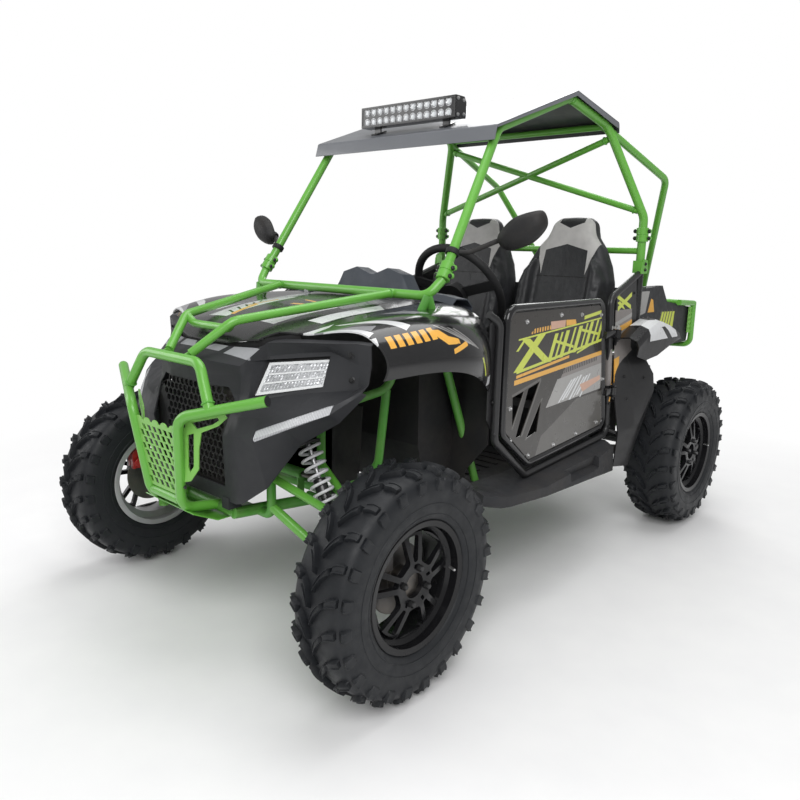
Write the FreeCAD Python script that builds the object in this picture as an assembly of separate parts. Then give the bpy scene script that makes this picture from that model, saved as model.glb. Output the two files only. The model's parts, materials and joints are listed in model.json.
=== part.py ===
import FreeCAD, Part
import math
import os

os.makedirs("parts", exist_ok=True)
V = FreeCAD.Vector

# A two-seat side by side utility vehicle. Millimetres; the front faces -Y, the
# vehicle's left side is +X, and the ground is Z = 0 below the middle of its length.

# Running gear
wheelbase = 1695.0
front_axle_y = -900.0
front_wheel_x = 585.0
rear_wheel_x = 597.0
tyre_radius = 295.0
front_tyre_width = 170.0
rear_tyre_width = 200.0
bead_radius = 152.4
flange_height = 13.0
tyre_wall = 11.0
lug_count = 24
lug_depth = 14.0
sidewall_inset = 3.0
rim_wall = 5.0
front_rim_width = 138.0
rear_rim_width = 168.0
disc_radius = 90.0
disc_thickness = 4.0
shaft_r = 24.0
kingpin_x = 505.0
lower_ball_drop = 82.0
upper_ball_rise = 80.0
steering_arm_length = 100.0
rod_end_gap = 1.0

# Tubes and sheet
cage_tube = 32.0
pillar_tube = 28.0
brace_tube = 24.0
bumper_tube = 27.0
chassis_tube = 32.0
arm_tube = 25.0
door_tube = 24.0
weld_gap = 0.3
running_gap = 0.08
sheet = 3.0
moulding = 4.0
tube_bend = 70.0

# Roll cage, left side
pillar_foot = (395.0, -532.0, 1000.0)
screen_top = (358.0, -244.0, 1440.0)
roof_peak = (360.0, 163.0, 1588.0)
roof_back = (360.0, 450.0, 1535.0)
shoulder = (482.0, 552.0, 1215.0)
cage_foot = (482.0, 562.0, 470.0)
brace_bend = (415.0, 885.0, 1380.0)
harness_bar_z = 1092.0

# Cargo bed and the hoop behind it
bed_half_width = 462.0
bed_front_y = 600.0
bed_rear_y = 1182.2
bed_floor_z = 700.0
bed_hoop_z = 868.0
brace_foot_x = 215.0

# Hood tubes, left side
nose_tab = (51.0, -1118.0, 808.0)
hood_bend = (110.0, -1028.0, 891.0)
hood_meet = (253.0, -580.0, 957.0)
cowl_bend = (378.0, -572.0, 955.0)

# Front rails
inner_rail_x = 150.0
front_rail_z = 392.0

# Bumper, left side
bumper_end = (340.0, -1101.0, 727.0)
bumper_corner = (112.0, -1200.0, 664.0)
bumper_low = (72.0, -1175.0, 412.0)
bumper_tail = (72.0, -1060.0, 396.0)
arch_foot = (197.0, -1163.0, 688.0)
arch_corner = (130.0, -1144.0, 797.0)

# Doors: the left door lies in a plane of constant X
door_x = 503.0
door_front_y = -362.0
door_top_z = 918.0
door_rear_top_y = 222.0
door_rear_low = (300.0, 459.0)
door_front_low = (-212.0, 424.0)
door_front_knee_z = 545.0
door_gap = 12.0
door_sheet = 3.0

# Cabin
floor_half_width = 410.0
seat_x = 224.0
seat_floor_z = 560.0
seat_rake = 13.0
wheel_hub = (225.0, -232.0, 948.0)
wheel_rim_radius = 160.0
wheel_rim_tube = 26.0
column_tilt = 30.0
column_shroud = 76.0

rear_axle_y = front_axle_y + wheelbase
axle_z = tyre_radius


def unit(vector):
    length = vector.Length
    return V(vector.x / length, vector.y / length, vector.z / length)


def mirrored(shape):
    """The same piece on the right side."""
    return shape.mirror(V(0, 0, 0), V(1, 0, 0))


def across(point):
    return (-point[0], point[1], point[2])


def between(start, end, share):
    return tuple(a + (b - a) * share for a, b in zip(start, end))


def weld(shapes):
    return shapes[0].multiFuse(shapes[1:])


def bent_path(points, bend):
    """Straight runs joined by tangent arcs."""
    corners = [V(*point) for point in points]
    edges = []
    start = corners[0]
    for before, corner, after in zip(corners, corners[1:], corners[2:]):
        arriving = unit(corner - before)
        leaving = unit(after - corner)
        half_turn = arriving.getAngle(leaving) / 2
        room = 0.45 * min((corner - before).Length, (after - corner).Length)
        reach = min(bend * math.tan(half_turn), room)
        radius = reach / math.tan(half_turn)
        inward = unit(leaving - arriving)
        first = corner - arriving * reach
        last = corner + leaving * reach
        middle = corner + inward * (radius / math.cos(half_turn) - radius)
        edges.append(Part.LineSegment(start, first).toShape())
        edges.append(Part.Arc(first, middle, last).toShape())
        start = last
    edges.append(Part.LineSegment(start, corners[-1]).toShape())
    return Part.Wire(edges)


def tube(points, diameter, bend=tube_bend):
    start = V(*points[0])
    heading = V(*points[1]) - start
    if len(points) == 2:
        return Part.makeCylinder(diameter / 2, heading.Length, start, heading)
    ring = Part.Wire(Part.makeCircle(diameter / 2, start, heading))
    return bent_path(points, bend).makePipeShell([ring], True, False)


def rod(start, end, diameter):
    return tube([start, end], diameter)


def seated(shape, *neighbours):
    """Trims a piece back to a weld gap from each neighbour (route, diameter[, bend])."""
    for points, diameter, *bend in neighbours:
        shape = shape.cut(tube(points, diameter + 2 * weld_gap, *bend))
    return shape


def place(axis, station, first, second):
    if axis == "X":
        return V(station, first, second)
    if axis == "Y":
        return V(first, station, second)
    return V(first, second, station)


def ring_wire(axis, station, outline):
    corners = [place(axis, station, a, b) for a, b in outline]
    return Part.makePolygon(corners + corners[:1])


def plate(axis, station, outline, thickness):
    push = place(axis, thickness, 0, 0)
    return Part.Face(ring_wire(axis, station, outline)).extrude(push)


def offset_line(line, wall):
    """The line moved by the wall to the left of its travel, mitred at corners."""
    normals = []
    for (a, b), (c, d) in zip(line, line[1:]):
        length = math.hypot(c - a, d - b)
        normals.append(((b - d) / length, (c - a) / length))
    moved = []
    for k, (a, b) in enumerate(line):
        n1 = normals[max(k - 1, 0)]
        n2 = normals[min(k, len(normals) - 1)]
        share = wall / (1 + n1[0] * n2[0] + n1[1] * n2[1])
        moved.append((a + (n1[0] + n2[0]) * share, b + (n1[1] + n2[1]) * share))
    return moved


def folded(axis, stations, wall):
    """A faceted sheet lofted through open lines, one for each station."""
    wires = [ring_wire(axis, s, line + offset_line(line, wall)[::-1]) for s, line in stations]
    return Part.makeLoft(wires, True, True)


def block(axis, stations):
    """A faceted solid lofted through closed outlines."""
    return Part.makeLoft([ring_wire(axis, s, outline) for s, outline in stations], True, True)


def spline(points):
    curve = Part.BSplineCurve()
    curve.interpolate(points)
    return curve.toShape()


def moulded(axis, stations, wall):
    """A curved sheet lofted smoothly through open curves, one for each station."""
    wires = []
    for station, line in stations:
        outer = [place(axis, station, a, b) for a, b in line]
        inner = [place(axis, station, a, b) for a, b in offset_line(line, wall)[::-1]]
        edges = [spline(outer), Part.LineSegment(outer[-1], inner[0]).toShape(),
                 spline(inner), Part.LineSegment(inner[-1], outer[0]).toShape()]
        wires.append(Part.Wire(edges))
    return Part.makeLoft(wires, True, False)


def box(low, high):
    size = [b - a for a, b in zip(low, high)]
    return Part.makeBox(*size, V(*low))


def turned(profile, centre):
    """A profile of (x, radius) points or arcs, revolved about the wheel's axle."""
    edges = []
    start = profile[0]
    for step in profile[1:]:
        if len(step) == 2:
            a, b = V(start[0], 0, start[1]), V(step[0], 0, step[1])
            edges.append(Part.LineSegment(a, b).toShape())
            start = step
        else:
            via, end = step[:2], step[2:]
            arc = Part.Arc(V(start[0], 0, start[1]), V(via[0], 0, via[1]), V(end[0], 0, end[1]))
            edges.append(arc.toShape())
            start = end
    face = Part.Face(Part.Wire(edges))
    solid = face.revolve(V(0, 0, 0), V(1, 0, 0), 360)
    solid.translate(V(*centre))
    return solid


def lug(outline, low, high, turn, side):
    """One tread bar: its footprint drawn out radially at the top of the wheel, then turned to its place."""
    corners = [(side * x, y) for x, y in outline]
    bar = plate("Z", low, corners, high - low)
    bar.rotate(V(0, 0, 0), V(1, 0, 0), turn)
    return bar


def tread(width):
    """Two staggered rows of bent chevron bars, each ended by a square block on the shoulder."""
    half = width / 2
    envelope = turned([(-half, 0), (-half, tyre_radius - 30), (-half + 8, tyre_radius - 12),
                       (-half * 0.55, tyre_radius - 2), (-half * 0.3, tyre_radius),
                       (half * 0.3, tyre_radius), (half * 0.55, tyre_radius - 2),
                       (half - 8, tyre_radius - 12), (half, tyre_radius - 30), (half, 0),
                       (-half, 0)], (0, 0, 0))
    inner = [(0.04 * half, -8), (0.46 * half, 51), (0.46 * half, 71), (0.04 * half, 8)]
    outer = [(0.46 * half, 53), (0.84 * half, 84), (0.84 * half, 104), (0.46 * half, 75)]
    block = [(0.84 * half, 60), (half, 60), (half, 88), (0.84 * half, 88)]
    bars = []
    for side in (1, -1):
        for k in range(lug_count):
            turn = -360.0 / lug_count * (k + (0.5 if side < 0 else 0))
            for outline, shift in ((inner, 30), (outer, 78), (block, 74)):
                lean = math.degrees(shift / tyre_radius)
                local = [(x, y - shift) for x, y in outline]
                bars.append(lug(local, tyre_radius - lug_depth - 30, tyre_radius + 4, turn - lean, side))
    return Part.makeCompound(bars).common(envelope)


def tyre(width, rim_width, centre):
    """Carcass with a lugged tread and a hollow inside, seated on the rim's beads."""
    half = width / 2 - sidewall_inset
    bead = rim_width / 2 - rim_wall - weld_gap
    seat = bead_radius + weld_gap
    heel_r = bead_radius + flange_height + 2
    crown_r = tyre_radius - lug_depth
    shoulder_r = tyre_radius - 40
    side_r = (seat + tyre_radius) / 2
    profile = [
        (-bead, seat),
        (-bead, heel_r),
        (-half, side_r, -half + 6, shoulder_r),
        (-half + 22, crown_r - 6),
        (-half * 0.4, crown_r),
        (half * 0.4, crown_r),
        (half - 22, crown_r - 6),
        (half - 6, shoulder_r),
        (half, side_r, bead, heel_r),
        (bead, seat),
        (bead - tyre_wall, seat),
        (half - tyre_wall, side_r, half - 8 - tyre_wall, shoulder_r - tyre_wall),
        (-half + 8 + tyre_wall, shoulder_r - tyre_wall),
        (-half + tyre_wall, side_r, -bead + tyre_wall, seat),
        (-bead, seat),
    ]
    carcass = turned(profile, (0, 0, 0))
    whole = carcass.multiFuse(tread(width).Solids)
    whole.translate(V(*centre))
    return whole


def spoke_opening(inner_r, outer_r, inner_half, outer_half, turn, thickness):
    """A rounded window between two spokes, cut along the axle."""
    outline = [(-inner_half, inner_r), (inner_half, inner_r), (outer_half, outer_r),
               (-outer_half, outer_r)]
    window = plate("X", -thickness, outline, 2 * thickness)
    window.rotate(V(0, 0, 0), V(1, 0, 0), turn)
    return window


def rim(width, side, centre):
    """A cast rim: barrel with a drop centre, and five split spokes on the outer side."""
    half = width / 2
    flange_r = bead_radius + flange_height
    drop_r = bead_radius - 18
    face_x = half - 26
    profile = [
        (half, flange_r), (half - rim_wall, flange_r), (half - rim_wall, bead_radius),
        (half - 26, bead_radius), (half - 40, drop_r), (-half + 40, drop_r),
        (-half + 26, bead_radius), (-half + rim_wall, bead_radius), (-half + rim_wall, flange_r),
        (-half, flange_r), (-half, bead_radius - rim_wall), (-half + 24, bead_radius - rim_wall),
        (-half + 38, drop_r - rim_wall), (half - 38, drop_r - rim_wall),
        (half - 24, bead_radius - rim_wall), (half, bead_radius - rim_wall), (half, flange_r),
    ]
    barrel = turned(profile, (0, 0, 0))
    web_r = bead_radius - 22
    web = turned([(face_x - 6, 31), (face_x + 8, 31), (face_x + 12, 56), (face_x, web_r),
                  (face_x - 13, web_r), (face_x - 6, 56), (face_x - 6, 31)], (0, 0, 0))
    spokes = 5
    for k in range(spokes):
        turn = 360.0 * k / spokes
        web = web.cut(spoke_opening(58, web_r - 7, 17, 46, turn + 180 / spokes, half))
        web = web.cut(spoke_opening(62, web_r - 7, 5, 16, turn, half))
    wheel = weld([barrel, web])
    if side < 0:
        wheel = mirrored(wheel)
    wheel.translate(V(*centre))
    return wheel


def hub(side, centre, inner_reach, rim_width):
    """Wheel flange, stub and brake disc that turn with the wheel."""
    face_x = rim_width / 2 - 26 - 6 - weld_gap
    profile = [(face_x, 0), (face_x, 52), (face_x - 8, 52), (face_x - 8, 34),
               (face_x - 42, 34), (face_x - 42, disc_radius),
               (face_x - 42 - disc_thickness, disc_radius), (face_x - 42 - disc_thickness, shaft_r),
               (-inner_reach, shaft_r), (-inner_reach, 0), (face_x, 0)]
    solid = turned(profile, (0, 0, 0))
    if side < 0:
        solid = mirrored(solid)
    solid.translate(V(*centre))
    return solid


# Chassis: floor rails, towers under the hood, and the rear frame under the bed
rail_x = 398.0
rail_z = 352.0
floor_z = rail_z + chassis_tube / 2 + weld_gap
tower_x = 205.0
tower_top_z = 640.0
arm_spread = 88.0
arm_front_y = front_axle_y - arm_spread
arm_rear_y = front_axle_y + arm_spread
bed_rail_x = 300.0
bed_rail_z = bed_floor_z - chassis_tube / 2 - weld_gap
rear_upright_y = 985.0
inner_route = [(inner_rail_x, -1070, front_rail_z), (inner_rail_x, -700, rail_z),
               (inner_rail_x, rear_upright_y, rail_z), (inner_rail_x, rear_upright_y, bed_rail_z)]
outer_route = [(inner_rail_x, -700, rail_z), (rail_x, -430, rail_z), (rail_x, 440, rail_z),
               (bed_rail_x, 640, rail_z + 20), (bed_rail_x, rear_upright_y, 500),
               (bed_rail_x, 1122, bed_rail_z - 5)]
tower_stay = [(tower_x, arm_rear_y, tower_top_z - 6), (300, -650, 690), cowl_bend]
cowl_leg = [cowl_bend, (rail_x, -330, rail_z)]
dash_bar_end = between(cowl_bend, cowl_leg[1], 0.32)
dash_bar = [dash_bar_end, across(dash_bar_end)]
shock_high = (236.0, front_axle_y, 600.0)
shock_low = (360.0, front_axle_y, 352.0)
rear_shock_high = (372.0, rear_axle_y + 120, 634.0)
rear_shock_low = (404.0, rear_axle_y + 92, 352.0)
shock_eye = 30.0
ear_sheet = 4.0
rack_y = front_axle_y + steering_arm_length + 20
rack_z = 420.0
rack_bar = 18.0
rack_housing_half = 88.0
arm_pivot = (320.0, 470.0, 305.0)


parts = {}


# Roll cage
side_front = [pillar_foot, screen_top, roof_peak]
side_rear = [roof_peak, roof_back, shoulder, cage_foot]
brace_start = between(roof_back, shoulder, 0.05)
hoop_y = bed_rear_y + 4 + brace_tube / 2 + weld_gap
hoop_x = bed_half_width + brace_tube / 2 + weld_gap
brace_foot = (brace_foot_x, hoop_y, bed_hoop_z)
rear_brace = [brace_start, brace_bend, brace_foot]
hoop_route = [(hoop_x, 1000, bed_hoop_z + 12), (hoop_x, hoop_y, bed_hoop_z),
              (-hoop_x, hoop_y, bed_hoop_z), (-hoop_x, 1000, bed_hoop_z + 12)]


def clamp(start, end, share, diameter):
    """A split clamp on a tube with two bolted ears."""
    low = V(*between(start, end, share))
    axis = unit(V(*end) - V(*start))
    sleeve = Part.makeCylinder(diameter / 2 + 7, 52, low, axis)
    ear = box((-30, -5, 4), (30, 5, 48))
    ear.Placement = FreeCAD.Placement(low, FreeCAD.Rotation(V(0, 0, 1), axis))
    return weld([sleeve, ear])


def cage_side():
    pillar = tube(side_front, pillar_tube)
    hoop = tube(side_rear, cage_tube)
    brace = tube(rear_brace, brace_tube + 4)
    side = weld([hoop, pillar, brace,
                 clamp(pillar_foot, screen_top, 0.0, pillar_tube),
                 clamp(shoulder, cage_foot, 0.05, cage_tube)])
    return seated(side, (hoop_route, brace_tube))


cage_left = cage_side()
parts["cage_left"] = cage_left
parts["cage_right"] = mirrored(cage_left)

cross_routes = [
    [screen_top, across(screen_top)],
    [roof_back, across(roof_back)],
    [(shoulder[0], shoulder[1] + 5, harness_bar_z), (-shoulder[0], shoulder[1] + 5, harness_bar_z)],
]
brace_high = between(roof_back, shoulder, 0.12)
brace_low = between(roof_back, shoulder, 0.94)
rising = tube([brace_high, across(brace_low)], brace_tube)
falling = tube([across(brace_high), brace_low], brace_tube)
crossing = weld([tube(route, brace_tube) for route in cross_routes] + [rising, falling])
side_routes = [(side_front, pillar_tube), (side_rear, cage_tube), (rear_brace, brace_tube + 4)]
side_routes += [([across(p) for p in route], size) for route, size in side_routes]
cage_cross = seated(crossing, *side_routes)
parts["cage_cross"] = cage_cross


# Roof: one folded sheet with a ridge, lips at both ends and returns at the sides
roof_half_width = 390.0
roof_sheet = 2.5
front_lip = 42.0
rear_lip = 34.0


def roof_line(lift):
    slope_front = (roof_peak[2] - screen_top[2]) / (roof_peak[1] - screen_top[1])
    slope_rear = (roof_back[2] - roof_peak[2]) / (roof_back[1] - roof_peak[1])
    nose_y = screen_top[1] - 48
    tail_y = roof_back[1] + 26
    ridge_z = roof_peak[2] + lift * 1.06
    nose_z = ridge_z + slope_front * (nose_y - roof_peak[1])
    tail_z = ridge_z + slope_rear * (tail_y - roof_peak[1])
    return nose_y, nose_z, ridge_z, tail_y, tail_z


def roof_panel():
    nose_y, nose_z, ridge_z, tail_y, tail_z = roof_line(cage_tube / 2 + weld_gap)
    line = [(nose_y - 12, nose_z - front_lip), (nose_y, nose_z), (roof_peak[1], ridge_z),
            (tail_y, tail_z), (tail_y + 6, tail_z - rear_lip)]
    top = offset_line(line, roof_sheet)
    panel = plate("X", -roof_half_width, line + top[::-1], 2 * roof_half_width)
    side = [(nose_y, nose_z), (roof_peak[1], ridge_z), (tail_y, tail_z),
            (tail_y, tail_z - 18), (roof_peak[1], ridge_z - 18), (nose_y, nose_z - 18)]
    returns = [plate("X", roof_half_width - roof_sheet, side, roof_sheet),
               plate("X", -roof_half_width, side, roof_sheet)]
    return seated(weld([panel] + returns), *side_routes)


parts["roof_panel"] = roof_panel()


# Light bar on two feet over the roof's front slope
bar_half_length = 205.0
bar_height = 66.0
bar_depth = 52.0
bar_y = -232.0
bar_foot_x = 150.0


def light_bar():
    nose_y, nose_z, ridge_z, tail_y, tail_z = roof_line(cage_tube / 2 + weld_gap)
    slope = math.degrees(math.atan2(ridge_z - nose_z, roof_peak[1] - nose_y))
    low = nose_z + (bar_y - nose_y) * math.tan(math.radians(slope)) + roof_sheet
    base = low + 20
    half = bar_depth / 2
    outline = [(bar_y - half, base), (bar_y + half - 10, base), (bar_y + half, base + 14),
               (bar_y + half, base + bar_height - 14), (bar_y + half - 10, base + bar_height),
               (bar_y - half, base + bar_height)]
    pieces = [plate("X", -bar_half_length, outline, 2 * bar_half_length)]
    fins = 6
    for k in range(fins):
        z = base + 12 + k * (bar_height - 24) / (fins - 1)
        pieces.append(box((-bar_half_length + 14, bar_y + half - 4, z - 1.5),
                          (bar_half_length - 14, bar_y + half + 8, z + 1.5)))
    for side in (-1, 1):
        x = side * bar_foot_x
        foot = box((x - 14, bar_y - 20, 0), (x + 14, bar_y + 30, 4))
        foot.translate(V(0, 0, low + 1.5))
        foot.rotate(V(x, bar_y, low + 1.5), V(1, 0, 0), slope)
        pieces += [foot, box((x - 14, bar_y - 3, low - 1), (x + 14, bar_y + 3, base + 1))]
    bar = weld(pieces)
    roof_top = plate("X", -roof_half_width, [
        (nose_y, nose_z), (roof_peak[1], ridge_z), (roof_peak[1], ridge_z + roof_sheet * 1.07 + weld_gap),
        (nose_y, nose_z + roof_sheet * 1.07 + weld_gap)], 2 * roof_half_width)
    return bar.cut(roof_top)


parts["light_bar"] = light_bar()


# Hood tubes: two rails from the bumper arch to a cowl tube between the pillars
cowl_route = [across(pillar_foot), across(cowl_bend), cowl_bend, pillar_foot]


def hood_tubes():
    cowl = tube(cowl_route, bumper_tube, 55)
    rails = []
    for flip in (1, -1):
        points = [(flip * p[0], p[1], p[2]) for p in (nose_tab, hood_bend, hood_meet)]
        rails.append(tube(points, bumper_tube - 3, 60))
    link = tube([across(hood_bend), (-80, -1022, 868), (80, -1022, 868), hood_bend],
                bumper_tube - 5, 30)
    clamps = [([pillar_foot, screen_top], pillar_tube + 14),
              ([across(pillar_foot), across(screen_top)], pillar_tube + 14)]
    return seated(weld([cowl] + rails + [link]), *clamps)


parts["hood_tubes"] = hood_tubes()


# Bumper: two bent side tubes, an arch, a perforated plate, side brackets and a skid
plate_top_z = 628.0
plate_sheet = 4.0
slot_pitch_x = 24.0
slot_pitch_z = 21.0


def perforated_plate():
    """Plate between the upright tubes, with slanted slots and a scalloped top edge."""
    lean = (bumper_low[1] - bumper_corner[1]) / (bumper_corner[2] - bumper_low[2])
    taper = (bumper_corner[0] - bumper_low[0]) / (bumper_corner[2] - bumper_low[2])
    low_z = bumper_low[2] + 36
    top_half = bumper_corner[0] - taper * (bumper_corner[2] - plate_top_z)
    low_half = bumper_low[0] + taper * 36
    panel = plate("Y", 0, [(-low_half, low_z), (low_half, low_z), (top_half, plate_top_z),
                           (-top_half, plate_top_z)], plate_sheet)
    scallops = 5
    for k in range(scallops):
        x = (k - (scallops - 1) / 2) * top_half * 1.55 / (scallops - 1)
        bump = Part.makeCylinder(15, plate_sheet, V(x, 0, plate_top_z), V(0, 1, 0))
        panel = panel.fuse(bump)
    slots = []
    rows = int((plate_top_z - low_z - 24) / slot_pitch_z)
    for row in range(rows + 1):
        z = low_z + 20 + row * slot_pitch_z
        half = low_half + taper * (z - low_z) - 26
        count = int(2 * half / slot_pitch_x) + 1
        for k in range(count):
            x = (k - (count - 1) / 2) * slot_pitch_x
            slot = [(x - 9, z + 5), (x - 2, z + 5), (x + 8, z - 6), (x + 1, z - 6)]
            slots.append(plate("Y", -1, slot, plate_sheet + 2))
    panel = panel.cut(Part.makeCompound(slots))
    panel.rotate(V(0, 0, 0), V(1, 0, 0), math.degrees(math.atan(lean)))
    shift = V(*bumper_low) - V(0, -lean * bumper_low[2], bumper_low[2])
    panel.translate(V(0, shift.y - plate_sheet / 2, 0))
    return panel


def side_bracket():
    """A slotted flat bracket from the upright back along the chin."""
    outline = [(100, 652), (226, 640), (222, 622), (160, 600), (146, 560), (142, 492), (92, 468)]
    bracket = plate("Y", -1176, outline, plate_sheet)
    for slot in ([(124, 634), (206, 628), (160, 616), (126, 618)],
                 [(118, 590), (132, 592), (130, 508), (112, 500)]):
        bracket = bracket.cut(plate("Y", -1180, slot, 12))
    return bracket


def bumper():
    pieces = []
    for flip in (1, -1):
        side = [(flip * p[0], p[1], p[2]) for p in (bumper_end, bumper_corner, bumper_low, bumper_tail)]
        pieces.append(tube(side, bumper_tube, 48))
    arch = [arch_foot, arch_corner, across(arch_corner), across(arch_foot)]
    pieces.append(tube(arch, bumper_tube, 46))
    pieces.append(tube([(68, -1172, 432), (-68, -1172, 432)], bumper_tube))
    bracket = side_bracket()
    pieces += [perforated_plate(), bracket, mirrored(bracket)]
    skid_z = front_rail_z - chassis_tube / 2 - sheet - weld_gap
    skid_line = [(-1168, skid_z + 34), (-1096, skid_z), (-960, skid_z)]
    skid = folded("X", [(-118, skid_line), (118, skid_line)], sheet)
    pieces.append(skid)
    for flip in (1, -1):
        tab = plate("X", flip * 51 - 3, [(-1156, 800), (-1112, 818), (-1108, 792), (-1140, 782)], 6)
        pieces.append(tab)
    return weld(pieces)


hood_rails = [([(f * p[0], p[1], p[2]) for p in (nose_tab, hood_bend, hood_meet)], bumper_tube - 3)
              for f in (1, -1)]
nose_cross = [(-inner_rail_x, -1060, front_rail_z), (inner_rail_x, -1060, front_rail_z)]
parts["bumper"] = seated(bumper(), *hood_rails, (nose_cross, chassis_tube))


# Front fascia: a faceted moulding with two lamp pockets, lamp strips and a grille mouth
fascia_lines = [
    (0, [(-1040, 826), (-1108, 797), (-1096, 762), (-1090, 738), (-1094, 660), (-1102, 604), (-1090, 430)]),
    (95, [(-1036, 826), (-1102, 796), (-1093, 762), (-1088, 736), (-1094, 660), (-1104, 606), (-1090, 430)]),
    (188, [(-1012, 828), (-1066, 787), (-1062, 760), (-1066, 715), (-1090, 658), (-1110, 612), (-1088, 430)]),
    (210, [(-960, 850), (-998, 843), (-988, 808), (-1038, 700), (-1088, 664), (-1108, 614), (-1084, 436)]),
    (275, [(-934, 853), (-966, 847), (-945, 818), (-993, 716), (-1066, 670), (-1098, 622), (-1056, 486)]),
    (345, [(-902, 855), (-931, 849), (-902, 826), (-946, 728), (-1020, 692), (-1050, 654), (-1004, 604)]),
    (425, [(-876, 858), (-892, 853), (-884, 800), (-888, 738), (-962, 712), (-982, 690), (-950, 664)]),
    (455, [(-868, 856), (-876, 850), (-874, 800), (-884, 756), (-904, 741), (-906, 734), (-890, 728)]),
]
fascia_back = -860.0
lamp_corners = [(197, 797), (345, 815), (350, 740), (200, 706)]
lamp_origin = (197, -985, 797)
lamp_slope_x = 0.567
lamp_slope_z = 0.557
lamp_depth = 70.0
strip_corners = [(272, 640), (420, 712), (424, 690), (276, 614)]
grille_mouth = [(-150, 730), (150, 730), (176, 700), (150, 470), (-150, 470), (-176, 700)]


def grown(corners, margin):
    """An outline moved outwards by a margin."""
    loop = corners + corners[:1]
    area = sum(a[0] * b[1] - b[0] * a[1] for a, b in zip(loop, loop[1:]))
    side = -margin if area > 0 else margin
    closed = corners[-1:] + corners + corners[:1]
    return offset_line(closed, side)[1:-1]


def both_ways(stations):
    return [(-s, line) for s, line in stations[:0:-1]] + stations


def fascia_body(inset):
    stations = []
    for x, line in both_ways(fascia_lines):
        front = offset_line(line, inset) if inset else line
        back = [(fascia_back, front[-1][1]), (fascia_back, front[0][1])]
        stations.append((x, front + back))
    return block("X", stations)


def fascia():
    solid = fascia_body(0)
    shell = folded("X", both_ways(fascia_lines), moulding)
    ring = plate("Y", -1150, grown(lamp_corners, 7), 290)
    hole = plate("Y", -1200, grown(lamp_corners, weld_gap), 400)
    strip_hole = plate("Y", -1200, grown(strip_corners, weld_gap), 300)
    strip_ring = plate("Y", -1150, grown(strip_corners, 5), 190)
    pockets = [ring.common(solid), strip_ring.common(solid)]
    pockets += [mirrored(p) for p in pockets]
    feet = [box((x - 15, -1092, front_rail_z + chassis_tube / 2 + weld_gap), (x + 15, -1052, 440))
            for x in (-inner_rail_x + 4, inner_rail_x - 4)]
    moulding_body = weld([shell] + pockets + feet)
    cuts = [hole, strip_hole, mirrored(hole), mirrored(strip_hole)]
    cuts.append(plate("Y", -1200, grille_mouth, 300))
    return moulding_body.cut(Part.makeCompound(cuts))


def lamp_front():
    """Half-space in front of the raked lens, as a large leaning block."""
    rise = V(lamp_slope_x, -1, lamp_slope_z)
    slab = Part.makeBox(900, 900, 500, V(-450, -450, 0))
    slab.Placement = FreeCAD.Placement(V(*lamp_origin), FreeCAD.Rotation(V(0, 0, 1), rise))
    return slab


def headlights():
    lens = plate("Y", -1150, lamp_corners, 290)
    front = lamp_front()
    rear = lamp_front()
    rear.translate(V(0, lamp_depth, 0))
    lens = lens.cut(front).common(rear)
    return Part.makeCompound([lens, mirrored(lens)])


def strip_lamps():
    bar = plate("Y", -1150, strip_corners, 190)
    lens = bar.common(fascia_body(2)).cut(fascia_body(14))
    return Part.makeCompound([lens, mirrored(lens)])


parts["fascia"] = fascia()
parts["headlights"] = headlights()
parts["strip_lamps"] = strip_lamps()


# Grille: a honeycomb panel behind the mouth
cell_pitch = 21.0
cell_bar = 4.5
grille_y = -1082.0
grille_sheet = 6.0


def grille():
    """A sheet of hexagonal cells, seated inside the fascia around the mouth."""
    panel = plate("Y", grille_y, grown(grille_mouth, 9), grille_sheet)
    pockets = plate("Y", grille_y - 1, grown(lamp_corners, 7 + weld_gap), grille_sheet + 2)
    panel = panel.common(fascia_body(moulding + weld_gap)).cut(pockets).cut(mirrored(pockets))
    cell_r = (cell_pitch - cell_bar) / math.sqrt(3)
    row_pitch = cell_pitch * math.sqrt(3) / 2
    low_z, high_z = grille_mouth[3][1] + cell_r + 2, grille_mouth[0][1] - cell_r - 2
    cells = []
    for row in range(int((high_z - low_z) / row_pitch) + 1):
        z = low_z + row * row_pitch
        half = 134 + (z - low_z) * 0.07
        count = int(half / cell_pitch)
        odd = row % 2
        for k in range(-count, count + 1 - odd):
            x = (k + odd / 2) * cell_pitch
            hexagon = [(x + cell_r * math.sin(math.radians(60 * n)),
                        z + cell_r * math.cos(math.radians(60 * n))) for n in range(6)]
            cells.append(plate("Y", grille_y - 1, hexagon, grille_sheet + 2))
    return panel.cut(Part.makeCompound(cells))


parts["grille"] = grille()


# Hood and front fenders
hood_edge_x = 258.0
hood_stations = [
    (-1060, 812, 800), (-980, 868, 858), (-905, 893, 873), (-816, 911, 890),
    (-645, 932, 909), (-520, 944, 919), (-436, 948, 925),
]
fender_stations = [
    (-940, [(262, 868), (350, 868), (420, 858), (446, 820), (448, 757)]),
    (-870, [(262, 881), (360, 884), (440, 871), (474, 835), (477, 762)]),
    (-800, [(262, 893), (370, 898), (464, 882), (502, 842), (506, 771)]),
    (-645, [(262, 909), (385, 915), (500, 896), (546, 850), (552, 772)]),
    (-520, [(262, 919), (385, 922), (488, 895), (532, 840), (536, 730)]),
    (-436, [(262, 925), (380, 922), (468, 885), (500, 815), (504, 684)]),
]
shut_gap = 2.5


def shut_line():
    """The space ahead of the fascia's rear edge, which the hood and fenders leave free."""
    rear_edge = [(x, line[0][0] + shut_gap) for x, line in both_ways(fascia_lines)]
    reach = 560
    slope_y = rear_edge[-1][1] + 45
    corners = [(-reach, slope_y)] + rear_edge + [(reach, slope_y), (reach, -1300), (-reach, -1300)]
    return plate("Z", 700, corners, 400)


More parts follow.
